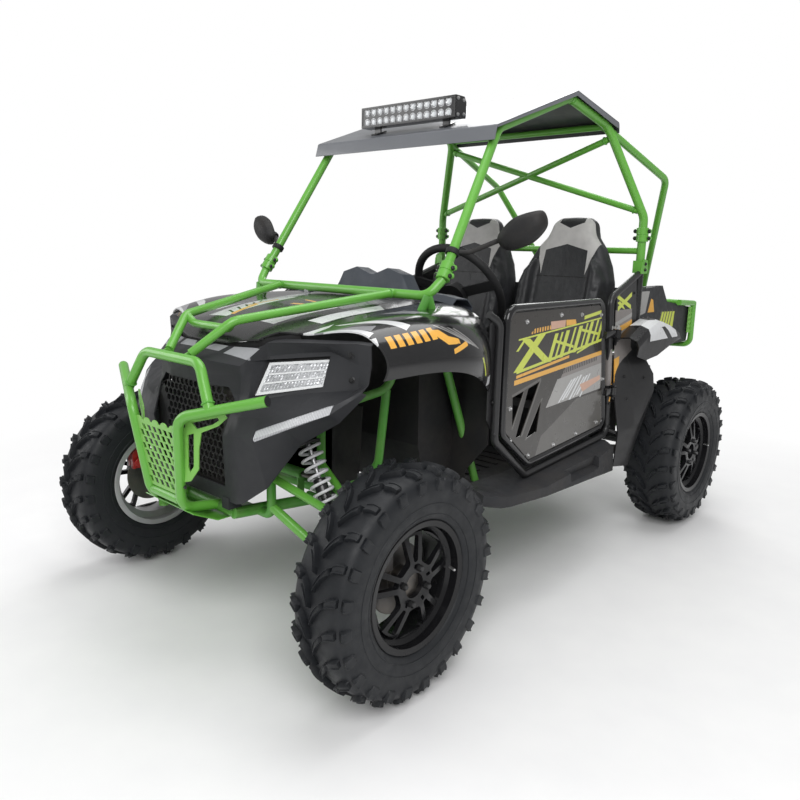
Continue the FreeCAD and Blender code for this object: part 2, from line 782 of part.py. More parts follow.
def hood():
    stations = []
    for y, crown, edge in hood_stations:
        line = [(-hood_edge_x, edge), (-hood_edge_x * 0.55, edge + (crown - edge) * 0.72), (0, crown),
                (hood_edge_x * 0.55, edge + (crown - edge) * 0.72), (hood_edge_x, edge)]
        stations.append((y, line))
    panel = moulded("Y", stations, -moulding).cut(shut_line())
    pads = [Part.makeCylinder(11, 22, V(x, cowl_bend[1], 924)) for x in (-130, 130)]
    return seated(weld([panel] + pads), (cowl_route, bumper_tube))


def front_fenders():
    fender = moulded("Y", fender_stations, -moulding).cut(shut_line())
    fender = seated(fender, (tower_stay, arm_tube), (cowl_leg, arm_tube),
                    ([cowl_bend, pillar_foot], bumper_tube))
    return Part.makeCompound([fender, mirrored(fender)])


parts["hood"] = hood()
parts["front_fenders"] = front_fenders()


# Welded frame
def ears(x_low, x_high, y, z_low, z_high):
    """Two plates either side of a shock's eye."""
    gap = shock_eye / 2 + weld_gap
    return [box((x_low, y - gap - ear_sheet, z_low), (x_high, y - gap, z_high)),
            box((x_low, y + gap, z_low), (x_high, y + gap + ear_sheet, z_high))]


def frame_half():
    """The left half of the welded tube frame."""
    tubes = [
        tube(inner_route, chassis_tube, 80),
        tube(outer_route, chassis_tube, 90),
        rod((bed_rail_x, 572, bed_rail_z), (bed_rail_x, 1140, bed_rail_z), chassis_tube),
        rod((bed_rail_x + 40, 572, rail_z + 10), (bed_rail_x, 572, bed_rail_z), chassis_tube),
        rod((bed_rail_x, 572, bed_rail_z - 20), (cage_foot[0], cage_foot[1], 560), brace_tube),
        rod(cage_foot, (rail_x, 420, rail_z), chassis_tube),
        tube(tower_stay, arm_tube, 50),
        rod(*cowl_leg, arm_tube),
        tube([(300, -650, 690), (300, -680, 470), (inner_rail_x, -700, rail_z)], arm_tube, 50),
        rod((tower_x, arm_front_y, tower_top_z), (tower_x, arm_rear_y, tower_top_z), arm_tube),
    ]
    for y in (arm_front_y, arm_rear_y):
        tubes.append(tube(tower_route(y), arm_tube, 40))
    tubes += ears(tower_x, shock_high[0] + 12, shock_high[1], shock_high[2] - 10, tower_top_z)
    tubes += ears(bed_rail_x, rear_shock_high[0] + 12, rear_shock_high[1],
                  rear_shock_high[2] - 10, bed_rail_z - 5)
    for x in (arm_pivot[0] - 24, arm_pivot[0] + 20):
        tubes.append(box((x, arm_pivot[1] - 16, arm_pivot[2] - 14),
                         (x + ear_sheet, arm_pivot[1] + 16, rail_z)))
    tubes.append(box((rack_housing_half - 14, rack_y - 12, rail_z), (inner_rail_x, rack_y + 12, rail_z + 6)))
    tubes.append(box((rack_housing_half - 14, rack_y - 12, rail_z),
                     (rack_housing_half - 8, rack_y + 12, rack_z)))
    return tubes


def tower_route(y):
    return [(inner_rail_x, y, front_rail_z - 14), (tower_x, y, front_rail_z - 14), (tower_x, y, tower_top_z)]


def main_frame():
    """Welded tube frame from the bumper to the rear cross tubes."""
    left = weld(frame_half())
    cross = [rod(*nose_cross, chassis_tube)]
    for x, y, z in ((inner_rail_x, -700, rail_z), (rail_x, -200, rail_z), (rail_x, 250, rail_z),
                    (rail_x - 20, arm_pivot[1], rail_z), (bed_rail_x + 40, 572, rail_z + 10),
                    (bed_rail_x, 572, bed_rail_z), (bed_rail_x, 1140, bed_rail_z)):
        cross.append(rod((-x, y, z), (x, y, z), chassis_tube))
    cross.append(rod((-bed_rail_x, rear_upright_y, bed_rail_z),
                     (bed_rail_x, rear_upright_y, bed_rail_z), arm_tube))
    for y in (arm_front_y, arm_rear_y):
        cross.append(rod((-tower_x, y, tower_top_z), (tower_x, y, tower_top_z), arm_tube))
    cross.append(rod(*dash_bar, brace_tube))
    cross.append(rod((-rack_housing_half, rack_y, rack_z),
                     (rack_housing_half, rack_y, rack_z), rack_bar + 14))
    frame = weld([left, mirrored(left)] + cross)
    bore = rod((-rack_housing_half - 1, rack_y, rack_z), (rack_housing_half + 1, rack_y, rack_z),
               rack_bar + 2 * running_gap)
    mates = [(side_rear, cage_tube), (cowl_route, bumper_tube)]
    mates.append(([across(p) for p in side_rear], cage_tube))
    return seated(frame.cut(bore), *mates)


parts["main_frame"] = main_frame()


# Floor, footwell and seat deck
deck_front_y = 30.0
deck_rear_y = 540.0
deck_half_width = 376.0
footwell_half = 352.0
kick_y = -412.0


def floor_pan():
    """Footwell with its front wall and side walls, a wider rear floor and kick walls."""
    line = [(-575, 830), (-570, 520), (-530, floor_z), (kick_y, floor_z)]
    pan = folded("X", [(-footwell_half, line), (footwell_half, line)], sheet)
    wall = [(-575, 850), (-575, 830), (-570, 520), (-530, floor_z), (kick_y, floor_z), (kick_y, 850)]
    pieces = [pan]
    for x in (footwell_half, -footwell_half - sheet):
        pieces.append(plate("X", x, wall, sheet))
    pieces.append(box((-floor_half_width, kick_y, floor_z),
                      (floor_half_width, deck_front_y, floor_z + sheet)))
    kick_edge = door_x - door_tube / 2 - weld_gap
    kick = [(footwell_half, 850), (kick_edge, 850), (kick_edge, 520), (floor_half_width, 420),
            (floor_half_width, floor_z), (footwell_half, floor_z)]
    kick_wall = plate("Y", kick_y, kick, sheet)
    pieces += [kick_wall, mirrored(kick_wall)]
    ribs = 7
    for side in (-1, 1):
        for k in range(ribs):
            y = -360 + k * 52
            pieces.append(box((side * 224 - 125, y, floor_z + sheet - 1),
                              (side * 224 + 125, y + 14, floor_z + sheet + 4)))
    return seated(weld(pieces), (cowl_leg, arm_tube), ([across(p) for p in cowl_leg], arm_tube),
                  (dash_bar, brace_tube))


def seat_deck():
    """Moulded box under the seats."""
    low = floor_z
    outline = [(deck_front_y + 1, low), (deck_front_y + 18, seat_floor_z - 24),
               (deck_front_y + 44, seat_floor_z), (deck_rear_y, seat_floor_z), (deck_rear_y, low)]
    outer = plate("X", -deck_half_width, outline, 2 * deck_half_width)
    hollow = grown(outline, -moulding)
    hollow = [(y, z if z > low + 2 * moulding else low - 10) for y, z in hollow]
    inner = plate("X", -deck_half_width + moulding, hollow, 2 * (deck_half_width - moulding))
    return seated(outer.cut(inner), (outer_route, chassis_tube, 90),
                  ([across(p) for p in outer_route], chassis_tube, 90))


parts["floor_pan"] = floor_pan()
parts["seat_deck"] = seat_deck()


# Seats: a cushion and a back with side bolsters, soft
back_half = [(0, 1245), (62, 1242), (92, 1222), (112, 1165), (150, 1120), (186, 1050), (208, 980),
             (206, 800), (192, 640), (180, 606)]
cushion_half = [(0, 60), (120, 58), (190, 74), (208, 120), (208, 330), (196, 420), (0, 424)]


def shrunk(outline, share, centre):
    return [(centre[0] + (a - centre[0]) * share, centre[1] + (b - centre[1]) * share)
            for a, b in outline]


def full_outline(half):
    return half + [(-a, b) for a, b in half[::-1] if a > 0]


def seat(x):
    back_outline = full_outline(back_half)
    middle = (0, 900)
    back = block("Y", [(-46, shrunk(back_outline, 0.90, middle)), (-30, shrunk(back_outline, 0.97, middle)),
                       (6, back_outline), (30, shrunk(back_outline, 0.97, middle)),
                       (44, shrunk(back_outline, 0.9, middle))])
    bolster = [(118, 1080), (160, 1050), (190, 980), (190, 780), (176, 660), (130, 660), (118, 800)]
    wing = block("Y", [(-84, shrunk(bolster, 0.72, (160, 860))), (-66, shrunk(bolster, 0.92, (160, 860))),
                       (-20, bolster)])
    back = weld([back, wing, mirrored(wing)])
    back.rotate(V(0, 0, 610), V(1, 0, 0), -seat_rake)
    back.translate(V(0, 388, 0))
    cushion_outline = full_outline(cushion_half)
    centre = (0, 240)
    cushion = block("Z", [(seat_floor_z + weld_gap, shrunk(cushion_outline, 0.94, centre)),
                          (seat_floor_z + 16, cushion_outline), (seat_floor_z + 70, cushion_outline),
                          (seat_floor_z + 96, shrunk(cushion_outline, 0.93, centre)),
                          (seat_floor_z + 104, shrunk(cushion_outline, 0.8, centre))])
    pad = back.fuse(cushion)
    pad.translate(V(x, 0, 0))
    return pad


parts["seat_left"] = seat(seat_x)
parts["seat_right"] = seat(-seat_x)


# Steering wheel on its column
column_back = V(0, math.cos(math.radians(column_tilt)), math.sin(math.radians(column_tilt)))


def on_wheel(shape):
    """Places a shape drawn about +Z at the steering wheel's hub, +Z towards the driver."""
    turn = FreeCAD.Rotation(V(0, 0, 1), column_back)
    shape.Placement = FreeCAD.Placement(V(*wheel_hub), turn)
    return shape


# Dash: a moulded shell below the windscreen line, with a raised twin pod in the middle
def dash():
    def line(top, rise):
        return [(-430, top - 12), (-408, top + 6 + rise), (-352, top + 2 + rise), (-326, top - 22),
                (-332, top - 96), (-372, top - 190), (-470, top - 220)]
    half = footwell_half - weld_gap
    stations = [(-half, line(934, 0)), (-300, line(942, 0)), (-160, line(950, 0)), (-132, line(952, 44)),
                (-70, line(952, 62)), (-8, line(952, 40)), (8, line(952, 40)), (70, line(952, 62)),
                (132, line(952, 44)), (160, line(950, 0)), (300, line(942, 0)), (half, line(934, 0))]
    hole = on_wheel(Part.makeCylinder(column_shroud / 2 + weld_gap, 400, V(0, 0, -400)))
    return folded("X", stations, -moulding).cut(hole)


parts["dash"] = dash()


def steering_wheel():
    ring = Part.makeTorus(wheel_rim_radius, wheel_rim_tube / 2)
    hub_boss = Part.makeCone(44, 36, 34, V(0, 0, -34))
    pieces = [ring, hub_boss]
    for turn in (90, 195, 345):
        spoke = box((0, -17, -14), (wheel_rim_radius, 17, -6))
        spoke.rotate(V(0, 0, 0), V(0, 0, 1), turn)
        pieces.append(spoke)
    pieces.append(Part.makeCylinder(11, 60, V(0, 0, -80)))
    whole = pieces[0].multiFuse(pieces[1:])
    return on_wheel(whole)


def steering_column():
    """Jacket tube in a shroud through the dash, bracketed to the bar behind it."""
    bar = V(*dash_bar_end)
    drop = V(0, bar.y - wheel_hub[1], bar.z - wheel_hub[2])
    along = -drop.dot(column_back)
    jacket = Part.makeCylinder(22, along - 40, V(0, 0, -along - 8))
    shroud = Part.makeCylinder(column_shroud / 2, 110, V(0, 0, -190))
    bore = Part.makeCylinder(11 + running_gap, 400, V(0, 0, -110))
    bracket = box((-16, -60, -along - 12), (16, 10, -along + 12))
    return seated(on_wheel(weld([jacket, shroud, bracket]).cut(bore)), (dash_bar, brace_tube))


parts["steering_wheel"] = steering_wheel()
parts["steering_column"] = steering_column()


# Doors: a bent tube frame with a sheet panel, hinged at the rear edge
door_outline = [(door_front_y, door_top_z), (door_rear_top_y, door_top_z), door_rear_low,
                door_front_low, (door_front_y, door_front_knee_z)]
hinge_y = 320.0
hinge_x = 526.0
hinge_heights = (800.0, 590.0)
hinge_knuckle = 12.0
hinge_pin = 5.0
door_bar = 16.0
bar_x = door_x + 2 - door_bar / 2 - weld_gap


def loop_tube(axis, station, outline, diameter, bend):
    """A closed ring of tube with rounded corners, started in the middle of a side."""
    first, last = outline[0], outline[-1]
    middle = ((first[0] + last[0]) / 2, (first[1] + last[1]) / 2)
    corners = [middle] + outline + [middle]
    points = [tuple(place(axis, station, a, b)) for a, b in corners]
    return tube(points, diameter, bend)


def door_frame():
    ring = loop_tube("X", door_x, door_outline, door_tube, 40)
    bar = rod((bar_x, door_front_y + 2, 700), (bar_x, door_rear_top_y + 36, 700), door_bar)
    pieces = [ring, bar]
    for z in hinge_heights:
        share = (door_top_z - z) / (door_top_z - door_rear_low[1])
        edge_y = door_rear_top_y + (door_rear_low[0] - door_rear_top_y) * share
        knuckle = Part.makeCylinder(hinge_knuckle, 28, V(hinge_x, hinge_y, z - 14))
        leaf = plate("Z", z - 12, [(door_x, edge_y - 8), (hinge_x, edge_y - 8), (hinge_x, hinge_y),
                                   (hinge_x - 6, hinge_y), (hinge_x - 6, edge_y + 14),
                                   (door_x, edge_y + 8)], 24)
        pieces += [knuckle, leaf]
    return weld(pieces)


def door_panel():
    inner = grown(door_outline, -door_tube / 2 - weld_gap)
    panel = plate("X", door_x + 2, inner, door_sheet)
    for slot in ([(-318, 652), (-256, 664), (-312, 560)],
                 [(-232, 668), (-168, 682), (-262, 524), (-290, 520)],
                 [(-152, 620), (-168, 520), (-228, 508)]):
        panel = panel.cut(plate("X", door_x - 5, slot, 30))
    rib = plate("X", door_x - 1, grown(door_outline, -door_tube / 2 - 14), 3.0)
    rib = rib.cut(plate("X", door_x - 6, grown(door_outline, -door_tube / 2 - 20), 20))
    bar = rod((bar_x, door_front_y, 700), (bar_x, door_rear_top_y + 60, 700), door_bar + 2 * weld_gap)
    ring = loop_tube("X", door_x, door_outline, door_tube + 2 * weld_gap, 40)
    return panel.fuse(rib).cut(bar).cut(ring)


parts["door_frame_left"] = door_frame()
parts["door_frame_right"] = mirrored(parts["door_frame_left"])
parts["door_panel_left"] = door_panel()
parts["door_panel_right"] = mirrored(parts["door_panel_left"])


# Fixed sides: the tube around the door opening, the rear quarter panel and the cowl side
def side_panels():
    """Tube surround, rear quarter with its flared splash panel, and the cowl side plate."""
    front_y = door_front_y - door_tube - door_gap
    low_gap = door_tube + door_gap
    surround = tube([(door_x - 14, -436, 905), (door_x, front_y, 880),
                     (door_x, front_y, door_front_knee_z - 14),
                     (door_x, door_front_low[0] - 10, door_front_low[1] - low_gap),
                     (door_x, door_rear_low[0] + 40, door_rear_low[1] - low_gap),
                     (door_x - 3, door_rear_top_y + 74, 925), (cage_foot[0] + 4, cage_foot[1] - 5, 1014)],
                    door_tube, 36)
    quarter_lines = [
        (345, [(499, 938), (512, 700), (522, 570), (548, 430), (540, 300)]),
        (430, [(494, 968), (512, 720), (562, 600), (580, 440), (556, 290)]),
        (520, [(489, 998), (508, 760), (588, 640), (596, 580), (592, 560)]),
    ]
    quarter = folded("Y", quarter_lines, -moulding)
    cowl = plate("X", door_x - 10, [(-436, 880), (-406, 890), (-402, 560), (-432, 600)], sheet)
    stay = rod((door_x, door_rear_low[0] + 36, 450), (rail_x, 336, rail_z), 16)
    brace = rod((door_x, door_rear_low[0] + 38, 440), (552, 372, 420), 12)
    piece = weld([surround, quarter, cowl, stay, brace])
    for z in hinge_heights:
        pin = Part.makeCylinder(hinge_pin, 60, V(hinge_x, hinge_y, z - 30))
        lugs = [plate("Z", z + lift, [(door_x, hinge_y - 4), (hinge_x + 8, hinge_y - 8),
                                      (hinge_x + 8, hinge_y + 8), (door_x, hinge_y + 20)], 6)
                for lift in (-22, 16)]
        piece = piece.multiFuse([pin] + lugs)
    return seated(piece, (side_rear, cage_tube), (cage_foot_route, chassis_tube),
                  ([(rail_x, -400, rail_z), (rail_x, 430, rail_z)], chassis_tube))


cage_foot_route = [cage_foot, (rail_x, 420, rail_z)]
side_left = side_panels()
parts["side_panels"] = Part.makeCompound([side_left, mirrored(side_left)])
for side in ("left", "right"):
    frame_piece = parts["door_frame_" + side]
    flip = 1 if side == "left" else -1
    for z in hinge_heights:
        bore = Part.makeCylinder(hinge_pin + running_gap, 60, V(flip * hinge_x, hinge_y, z - 30))
        frame_piece = frame_piece.cut(bore)
    parts["door_frame_" + side] = frame_piece


# Rocker mouldings below the doors
def sill_z(y):
    """Underside of the door surround's low tube."""
    y_low, z_low = door_front_low[0] - 10, door_front_low[1] - door_tube - door_gap
    y_high, z_high = door_rear_low[0] + 40, door_rear_low[1] - door_tube - door_gap
    share = max(0.0, (y - y_low) / (y_high - y_low))
    return z_low + (z_high - z_low) * share - door_tube / 2 - weld_gap


rocker_stations = [
    (-474, [(420, 388), (500, 396), (528, 386), (524, 352), (490, 346), (420, 356)]),
    (-400, [(420, 382), (520, 380), (566, 372), (572, 344), (540, 332), (420, 342)]),
    (-222, [(420, sill_z(-222)), (535, sill_z(-222)), (585, 366), (590, 338), (555, 322), (420, 338)]),
    (100, [(420, sill_z(100)), (530, sill_z(100)), (580, 380), (586, 324), (552, 304), (420, 332)]),
    (300, [(420, sill_z(300)), (520, sill_z(300)), (556, 390), (560, 300), (530, 280), (420, 320)]),
]


def rockers():
    solid = block("Y", rocker_stations)
    step = box((552, -60, 352), (640, 150, 430))
    step.rotate(V(552, 0, 352), V(0, 1, 0), 12)
    solid = solid.cut(step)
    return Part.makeCompound([solid, mirrored(solid)])


parts["rockers"] = rockers()


# Rear fenders: a creased cap over each rear wheel with a skirt on its outer side
rear_fender_x = 596.0
rear_fender_inner_x = 513.0
rear_fender_crown = [(352, 786, 720), (430, 822, 700), (530, 846, 708), (640, 826, 736), (742, 790, 756)]


def rear_fenders():
    stations = []
    for y, crown, skirt in rear_fender_crown:
        stations.append((y, [(rear_fender_inner_x, crown - 5), (rear_fender_x - 40, crown),
                             (rear_fender_x - 9, crown - 12), (rear_fender_x, crown - 34),
                             (rear_fender_x - 4, skirt)]))
    cap = folded("Y", stations, -moulding)
    stay_y, stay_z = 640, 814
    stay = rod((bed_half_width + weld_gap, stay_y, stay_z), (rear_fender_inner_x + 10, stay_y, stay_z), 14)
    fender = weld([cap, stay])
    return Part.makeCompound([fender, mirrored(fender)])


parts["rear_fenders"] = rear_fenders()


# Cargo bed and its green end frame
bed_rear_top = bed_hoop_z - 20
bed_tail_y = bed_rear_y - 24
bed_profile = [(bed_front_y, bed_floor_z), (bed_front_y, 948), (838, 952), (900, 884),
               (bed_rear_y + 4, bed_rear_top), (bed_tail_y, bed_floor_z)]


def cargo_bed():
    outer = plate("X", -bed_half_width, bed_profile, 2 * bed_half_width)
    inner_profile = [(bed_front_y + sheet, bed_floor_z + sheet), (bed_front_y + sheet, 1100),
                     (bed_rear_y, 1100), (bed_rear_y, bed_rear_top), (bed_tail_y - 4, bed_floor_z + sheet)]
    inner = plate("X", -bed_half_width + sheet, inner_profile, 2 * (bed_half_width - sheet))
    pieces = [outer.cut(inner)]
    for side in (1, -1):
        x = side * bed_half_width
        line = [(bed_front_y, 950), (838, 952), (900, 884), (bed_rear_y, bed_rear_top)]
        lip = folded("X", sorted([(x - side * 20, line), (x, line)]), sheet)
        pieces.append(lip)
    ribs = 7
    for k in range(ribs):
        x = (k - (ribs - 1) / 2) * 120
        pieces.append(box((x - 14, bed_front_y + 30, bed_floor_z + sheet - 1),
                          (x + 14, bed_rear_y - 60, bed_floor_z + sheet + 6)))
    return weld(pieces)


def bed_frame():
    """Hoop round the tail of the bed, on corner posts from the frame."""
    hoop = tube(hoop_route, brace_tube, 30)
    posts = []
    for side in (1, -1):
        corner = (side * hoop_x, hoop_y - 26, bed_hoop_z)
        knee = (side * hoop_x, bed_tail_y + 18, bed_floor_z - 16)
        posts.append(tube([corner, knee, (side * bed_rail_x, 1140, bed_rail_z - 4)], brace_tube, 30))
    rear_cross = [(-bed_rail_x, 1140, bed_rail_z), (bed_rail_x, 1140, bed_rail_z)]
    mates = [(rear_cross, chassis_tube)]
    for side in (1, -1):
        rail = [(side * bed_rail_x, 900, bed_rail_z), (side * bed_rail_x, 1140, bed_rail_z)]
        lower = [(side * bed_rail_x, rear_upright_y, 500), (side * bed_rail_x, 1140, bed_rail_z)]
        mates += [(rail, chassis_tube), (lower, chassis_tube)]
    return seated(weld([hoop] + posts), *mates)


parts["cargo_bed"] = cargo_bed()
parts["bed_frame"] = bed_frame()


# Engine and muffler
drive_half = 108.0
engine_floor = rail_z + chassis_tube / 2 + weld_gap
engine_block = weld([box((-168, 640, engine_floor), (168, 940, 620)),
                     box((-drive_half, rear_axle_y - 70, axle_z - 62),
                         (drive_half, rear_axle_y + 70, engine_floor + 1))])
parts["engine_block"] = seated(engine_block, (inner_route, chassis_tube, 80),
                               ([across(p) for p in inner_route], chassis_tube, 80))
muffler_r = 60.0
muffler_y = rear_upright_y + chassis_tube / 2 + muffler_r + weld_gap
muffler = weld([Part.makeCylinder(muffler_r, 330, V(-165, muffler_y, 560), V(1, 0, 0)),
                Part.makeCylinder(18, 130, V(118, muffler_y, 560), V(0, 1, 0))])
parts["muffler"] = muffler


# Front suspension arms, shocks, knuckles and steering rack
carrier_reach = 22.0
ball_low = (kingpin_x, front_axle_y, axle_z - lower_ball_drop)
ball_high = (kingpin_x, front_axle_y, axle_z + upper_ball_rise)
pivot_low_z = 404.0
pivot_high_z = 486.0


def spring(low, high, coil_radius, wire, turns):
    """A shock absorber: damper body, rod, and a coil spring drawn as stacked rings."""
    axis = unit(V(*high) - V(*low))
    length = (V(*high) - V(*low)).Length
    body = Part.makeCylinder(17, length * 0.55, V(*low), axis)
    top = Part.makeCylinder(8, length, V(*low), axis)
    pieces = [body, top]
    for share, radius in ((0.13, coil_radius + 3), (0.86, coil_radius + 3)):
        seat_at = V(*between(low, high, share))
        pieces.append(Part.makeCylinder(radius, 6, seat_at, axis))
    span = 0.7 * length
    for k in range(turns):
        middle = V(*low) + axis * (0.16 * length + span * (k + 0.5) / turns)
        pieces.append(Part.makeTorus(coil_radius - wire / 2, wire / 2, middle, axis))
        pieces.append(Part.makeCylinder(coil_radius - wire / 2, 2, middle - axis, axis))
    for point in (low, high):
        foot = V(point[0], point[1] - shock_eye / 2, point[2])
        pieces.append(Part.makeCylinder(14, shock_eye, foot, V(0, 1, 0)))
    return weld(pieces)


front_shock = spring(shock_low, shock_high, 33, 10, 7)
rear_shock = spring(rear_shock_low, rear_shock_high, 33, 10, 7)


def front_arms():
    """Lower and upper wishbones, with ears for the shock on the lower one."""
    side = []
    for y in (arm_front_y, arm_rear_y):
        side.append(rod((tower_x, y, pivot_low_z), (ball_low[0] - 8, ball_low[1], ball_low[2]), arm_tube))
        side.append(rod((tower_x, y, pivot_high_z), (ball_high[0] - 8, ball_high[1], ball_high[2]),
                        arm_tube - 3))
    for x, y, z in (ball_low, ball_high):
        side.append(Part.makeCylinder(17, 28, V(x, y, z - 14)))
    share = (shock_low[0] - tower_x) / (ball_low[0] - tower_x)
    low_z = pivot_low_z + (ball_low[2] - pivot_low_z) * share
    half = arm_spread * (1 - share)
    side.append(rod((shock_low[0], front_axle_y - half, low_z),
                    (shock_low[0], front_axle_y + half, low_z), 22))
    side += ears(shock_low[0] - 13, shock_low[0] + 13, shock_low[1], low_z, shock_low[2] + 4)
    towers = [(tower_route(y), arm_tube) for y in (arm_front_y, arm_rear_y)]
    arms = seated(weld(side), *towers).cut(front_shock)
    return Part.makeCompound([arms, mirrored(arms)])


parts["front_arms"] = front_arms()
parts["shocks"] = Part.makeCompound([front_shock, mirrored(front_shock), rear_shock, mirrored(rear_shock)])


def knuckle():
    """Upright with hub carrier, steering arm and brake caliper."""
    x, y = kingpin_x, front_axle_y
    post = rod((x, y, ball_low[2] + 28), (x, y, ball_high[2] - 22), 30)
    neck = rod((x, y, ball_low[2] + 15), (x, y, ball_high[2] - 15), 14)
    carrier = Part.makeCylinder(36, carrier_reach + 14, V(x - 14, y, axle_z), V(1, 0, 0))
    bore = rod((x - 6, y, axle_z), (x + carrier_reach + 1, y, axle_z), 2 * (shaft_r + running_gap))
    arm = box((x - 12, y, axle_z - 34), (x + 12, y + steering_arm_length + 14, axle_z - 24))
    disc_x = front_wheel_x + front_rim_width / 2 - 32 - weld_gap - 42 - disc_thickness
    caliper = box((disc_x - 22, y - 78, axle_z + 40), (disc_x + disc_thickness + 18, y - 36, axle_z + 94))
    slot = box((disc_x - 4, y - 90, axle_z + 30), (disc_x + disc_thickness + 4, y - 30, axle_z + 88))
    bridge = box((x, y - 50, axle_z + 42), (disc_x - 8, y, axle_z + 58))
    return weld([post, neck, carrier, arm, caliper.cut(slot), bridge]).cut(bore)


def steering_rack():
    """Rack bar with a ball joint and a tie rod at each end, up to the steering arms."""
    rod_z = axle_z - 24 + rod_end_gap
    arm_y = front_axle_y + steering_arm_length
    end_x = rack_housing_half + 62
    pieces = [rod((-end_x, rack_y, rack_z), (end_x, rack_y, rack_z), rack_bar)]
    for side in (1, -1):
        pieces.append(rod((side * (end_x - 16), rack_y, rack_z), (side * (end_x + 14), rack_y, rack_z), 28))
        pieces.append(rod((side * end_x, rack_y, rack_z), (side * (kingpin_x - 8), arm_y, rod_z + 12), 14))
        pieces.append(Part.makeCylinder(13, 18, V(side * kingpin_x, arm_y, rod_z)))
    return weld(pieces)


parts["knuckle_left"] = knuckle()
parts["knuckle_right"] = mirrored(parts["knuckle_left"])
parts["steering_rack"] = steering_rack()


# Rear trailing arms with hub carriers
def rear_arms():
    """Trailing arm with a pivot bush, a hub carrier and a shock perch on each side."""
    arm = tube([arm_pivot, (430, 610, 292), (442, rear_axle_y + 20, 276)], 40, 80)
    bush = Part.makeCylinder(18, 40 - 2 * weld_gap,
                             V(arm_pivot[0] - 20 + weld_gap, *arm_pivot[1:]), V(1, 0, 0))
    carrier = Part.makeCylinder(46, 62, V(424, rear_axle_y, axle_z), V(1, 0, 0))
    bore = Part.makeCylinder(shaft_r + running_gap, 90, V(410, rear_axle_y, axle_z), V(1, 0, 0))
    perch_top = rear_shock_low[2] - 14 - weld_gap
    perch = rod((rear_shock_low[0], rear_shock_low[1], 262),
                (rear_shock_low[0], rear_shock_low[1], perch_top), 26)
    link = rod((rear_shock_low[0], rear_shock_low[1], 274), (446, rear_axle_y + 10, 276), 26)
    ear_box = box((296, 440, 240), (344, 500, 322)).cut(box((arm_pivot[0] - 20 + weld_gap, 430, 230),
                                                            (arm_pivot[0] + 20 - weld_gap, 510, 330)))
    side = weld([arm, bush, carrier, perch, link]).cut(bore).cut(ear_box)
    return Part.makeCompound([side, mirrored(side)])


parts["rear_arms"] = rear_arms()


# Wheels
front_reach = front_wheel_x - kingpin_x + 5
rear_reach = rear_wheel_x - drive_half - weld_gap
for end, wheel_x, axle_y, width, rim_width, reach in (
        ("front", front_wheel_x, front_axle_y, front_tyre_width, front_rim_width, front_reach),
        ("rear", rear_wheel_x, rear_axle_y, rear_tyre_width, rear_rim_width, rear_reach)):
    for hand, side in (("left", 1), ("right", -1)):
        centre = (side * wheel_x, axle_y, axle_z)
        parts["tyre_%s_%s" % (end, hand)] = tyre(width, rim_width, centre)
        parts["rim_%s_%s" % (end, hand)] = rim(rim_width, side, centre)
        parts["hub_%s_%s" % (end, hand)] = hub(side, centre, reach, rim_width)


# Mirrors and tail lamps
def mirrors():
    head = block("Y", [(-30, [(-46, -28), (28, -34), (48, 6), (34, 38), (-30, 30), (-52, 4)]),
                       (-4, [(-60, -38), (38, -46), (64, 8), (46, 52), (-40, 40), (-68, 4)]),
                       (14, [(-58, -36), (36, -44), (62, 8), (44, 50), (-38, 38), (-66, 4)])])
    head.rotate(V(0, 0, 0), V(0, 0, 1), 16)
    head.translate(V(572, -402, 1142))
    root = between(pillar_foot, screen_top, 0.17)
    arm = tube([root, (430, -458, 1072), (500, -404, 1110), (548, -396, 1132)], 14, 30)
    piece = seated(head.fuse(arm), (side_front, pillar_tube))
    return Part.makeCompound([piece, mirrored(piece)])


def tail_lamp():
    """A block on the slanted tail wall of the bed."""
    slope = (bed_rear_y + 4 - bed_tail_y) / (bed_rear_top - bed_floor_z)
    low, high = (bed_tail_y + slope * (z - bed_floor_z) + weld_gap for z in (748, 796))
    lamp = plate("X", 330, [(low, 748), (high, 796), (high + 12, 794), (low + 12, 750)], 100)
    return Part.makeCompound([lamp, mirrored(lamp)])


parts["mirrors"] = mirrors()
parts["tail_lamps"] = tail_lamp()

for name, shape in parts.items():
    shape.exportStep("parts/%s.step" % name)
    print(name, len(shape.Solids), round(shape.Volume / 1000), shape.isValid())
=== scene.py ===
import bpy
import bmesh
import json
import math
import numpy as np
from mathutils import Matrix, Vector
from mathutils.geometry import delaunay_2d_cdt


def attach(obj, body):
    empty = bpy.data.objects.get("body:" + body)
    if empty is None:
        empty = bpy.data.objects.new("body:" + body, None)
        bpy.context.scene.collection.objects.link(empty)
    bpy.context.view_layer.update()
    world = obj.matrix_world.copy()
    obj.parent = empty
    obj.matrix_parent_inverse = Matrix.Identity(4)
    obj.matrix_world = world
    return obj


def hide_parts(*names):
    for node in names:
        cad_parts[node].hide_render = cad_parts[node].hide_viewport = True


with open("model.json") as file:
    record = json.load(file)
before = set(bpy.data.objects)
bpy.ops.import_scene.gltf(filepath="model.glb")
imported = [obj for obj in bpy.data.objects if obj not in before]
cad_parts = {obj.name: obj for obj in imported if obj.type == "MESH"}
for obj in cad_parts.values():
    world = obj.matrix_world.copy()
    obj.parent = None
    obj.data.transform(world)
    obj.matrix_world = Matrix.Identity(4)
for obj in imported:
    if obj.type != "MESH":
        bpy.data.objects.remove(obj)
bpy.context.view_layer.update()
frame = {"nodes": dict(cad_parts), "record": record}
scene = bpy.context.scene
pi = math.pi
print("frame loaded")


view = {"place": (1.661, -2.114, 1.086), "azimuth": 41.654, "pitch": 11.844, "roll": 1.326,
        "lens": 32.32, "shift": (-0.0022, -0.0028)}


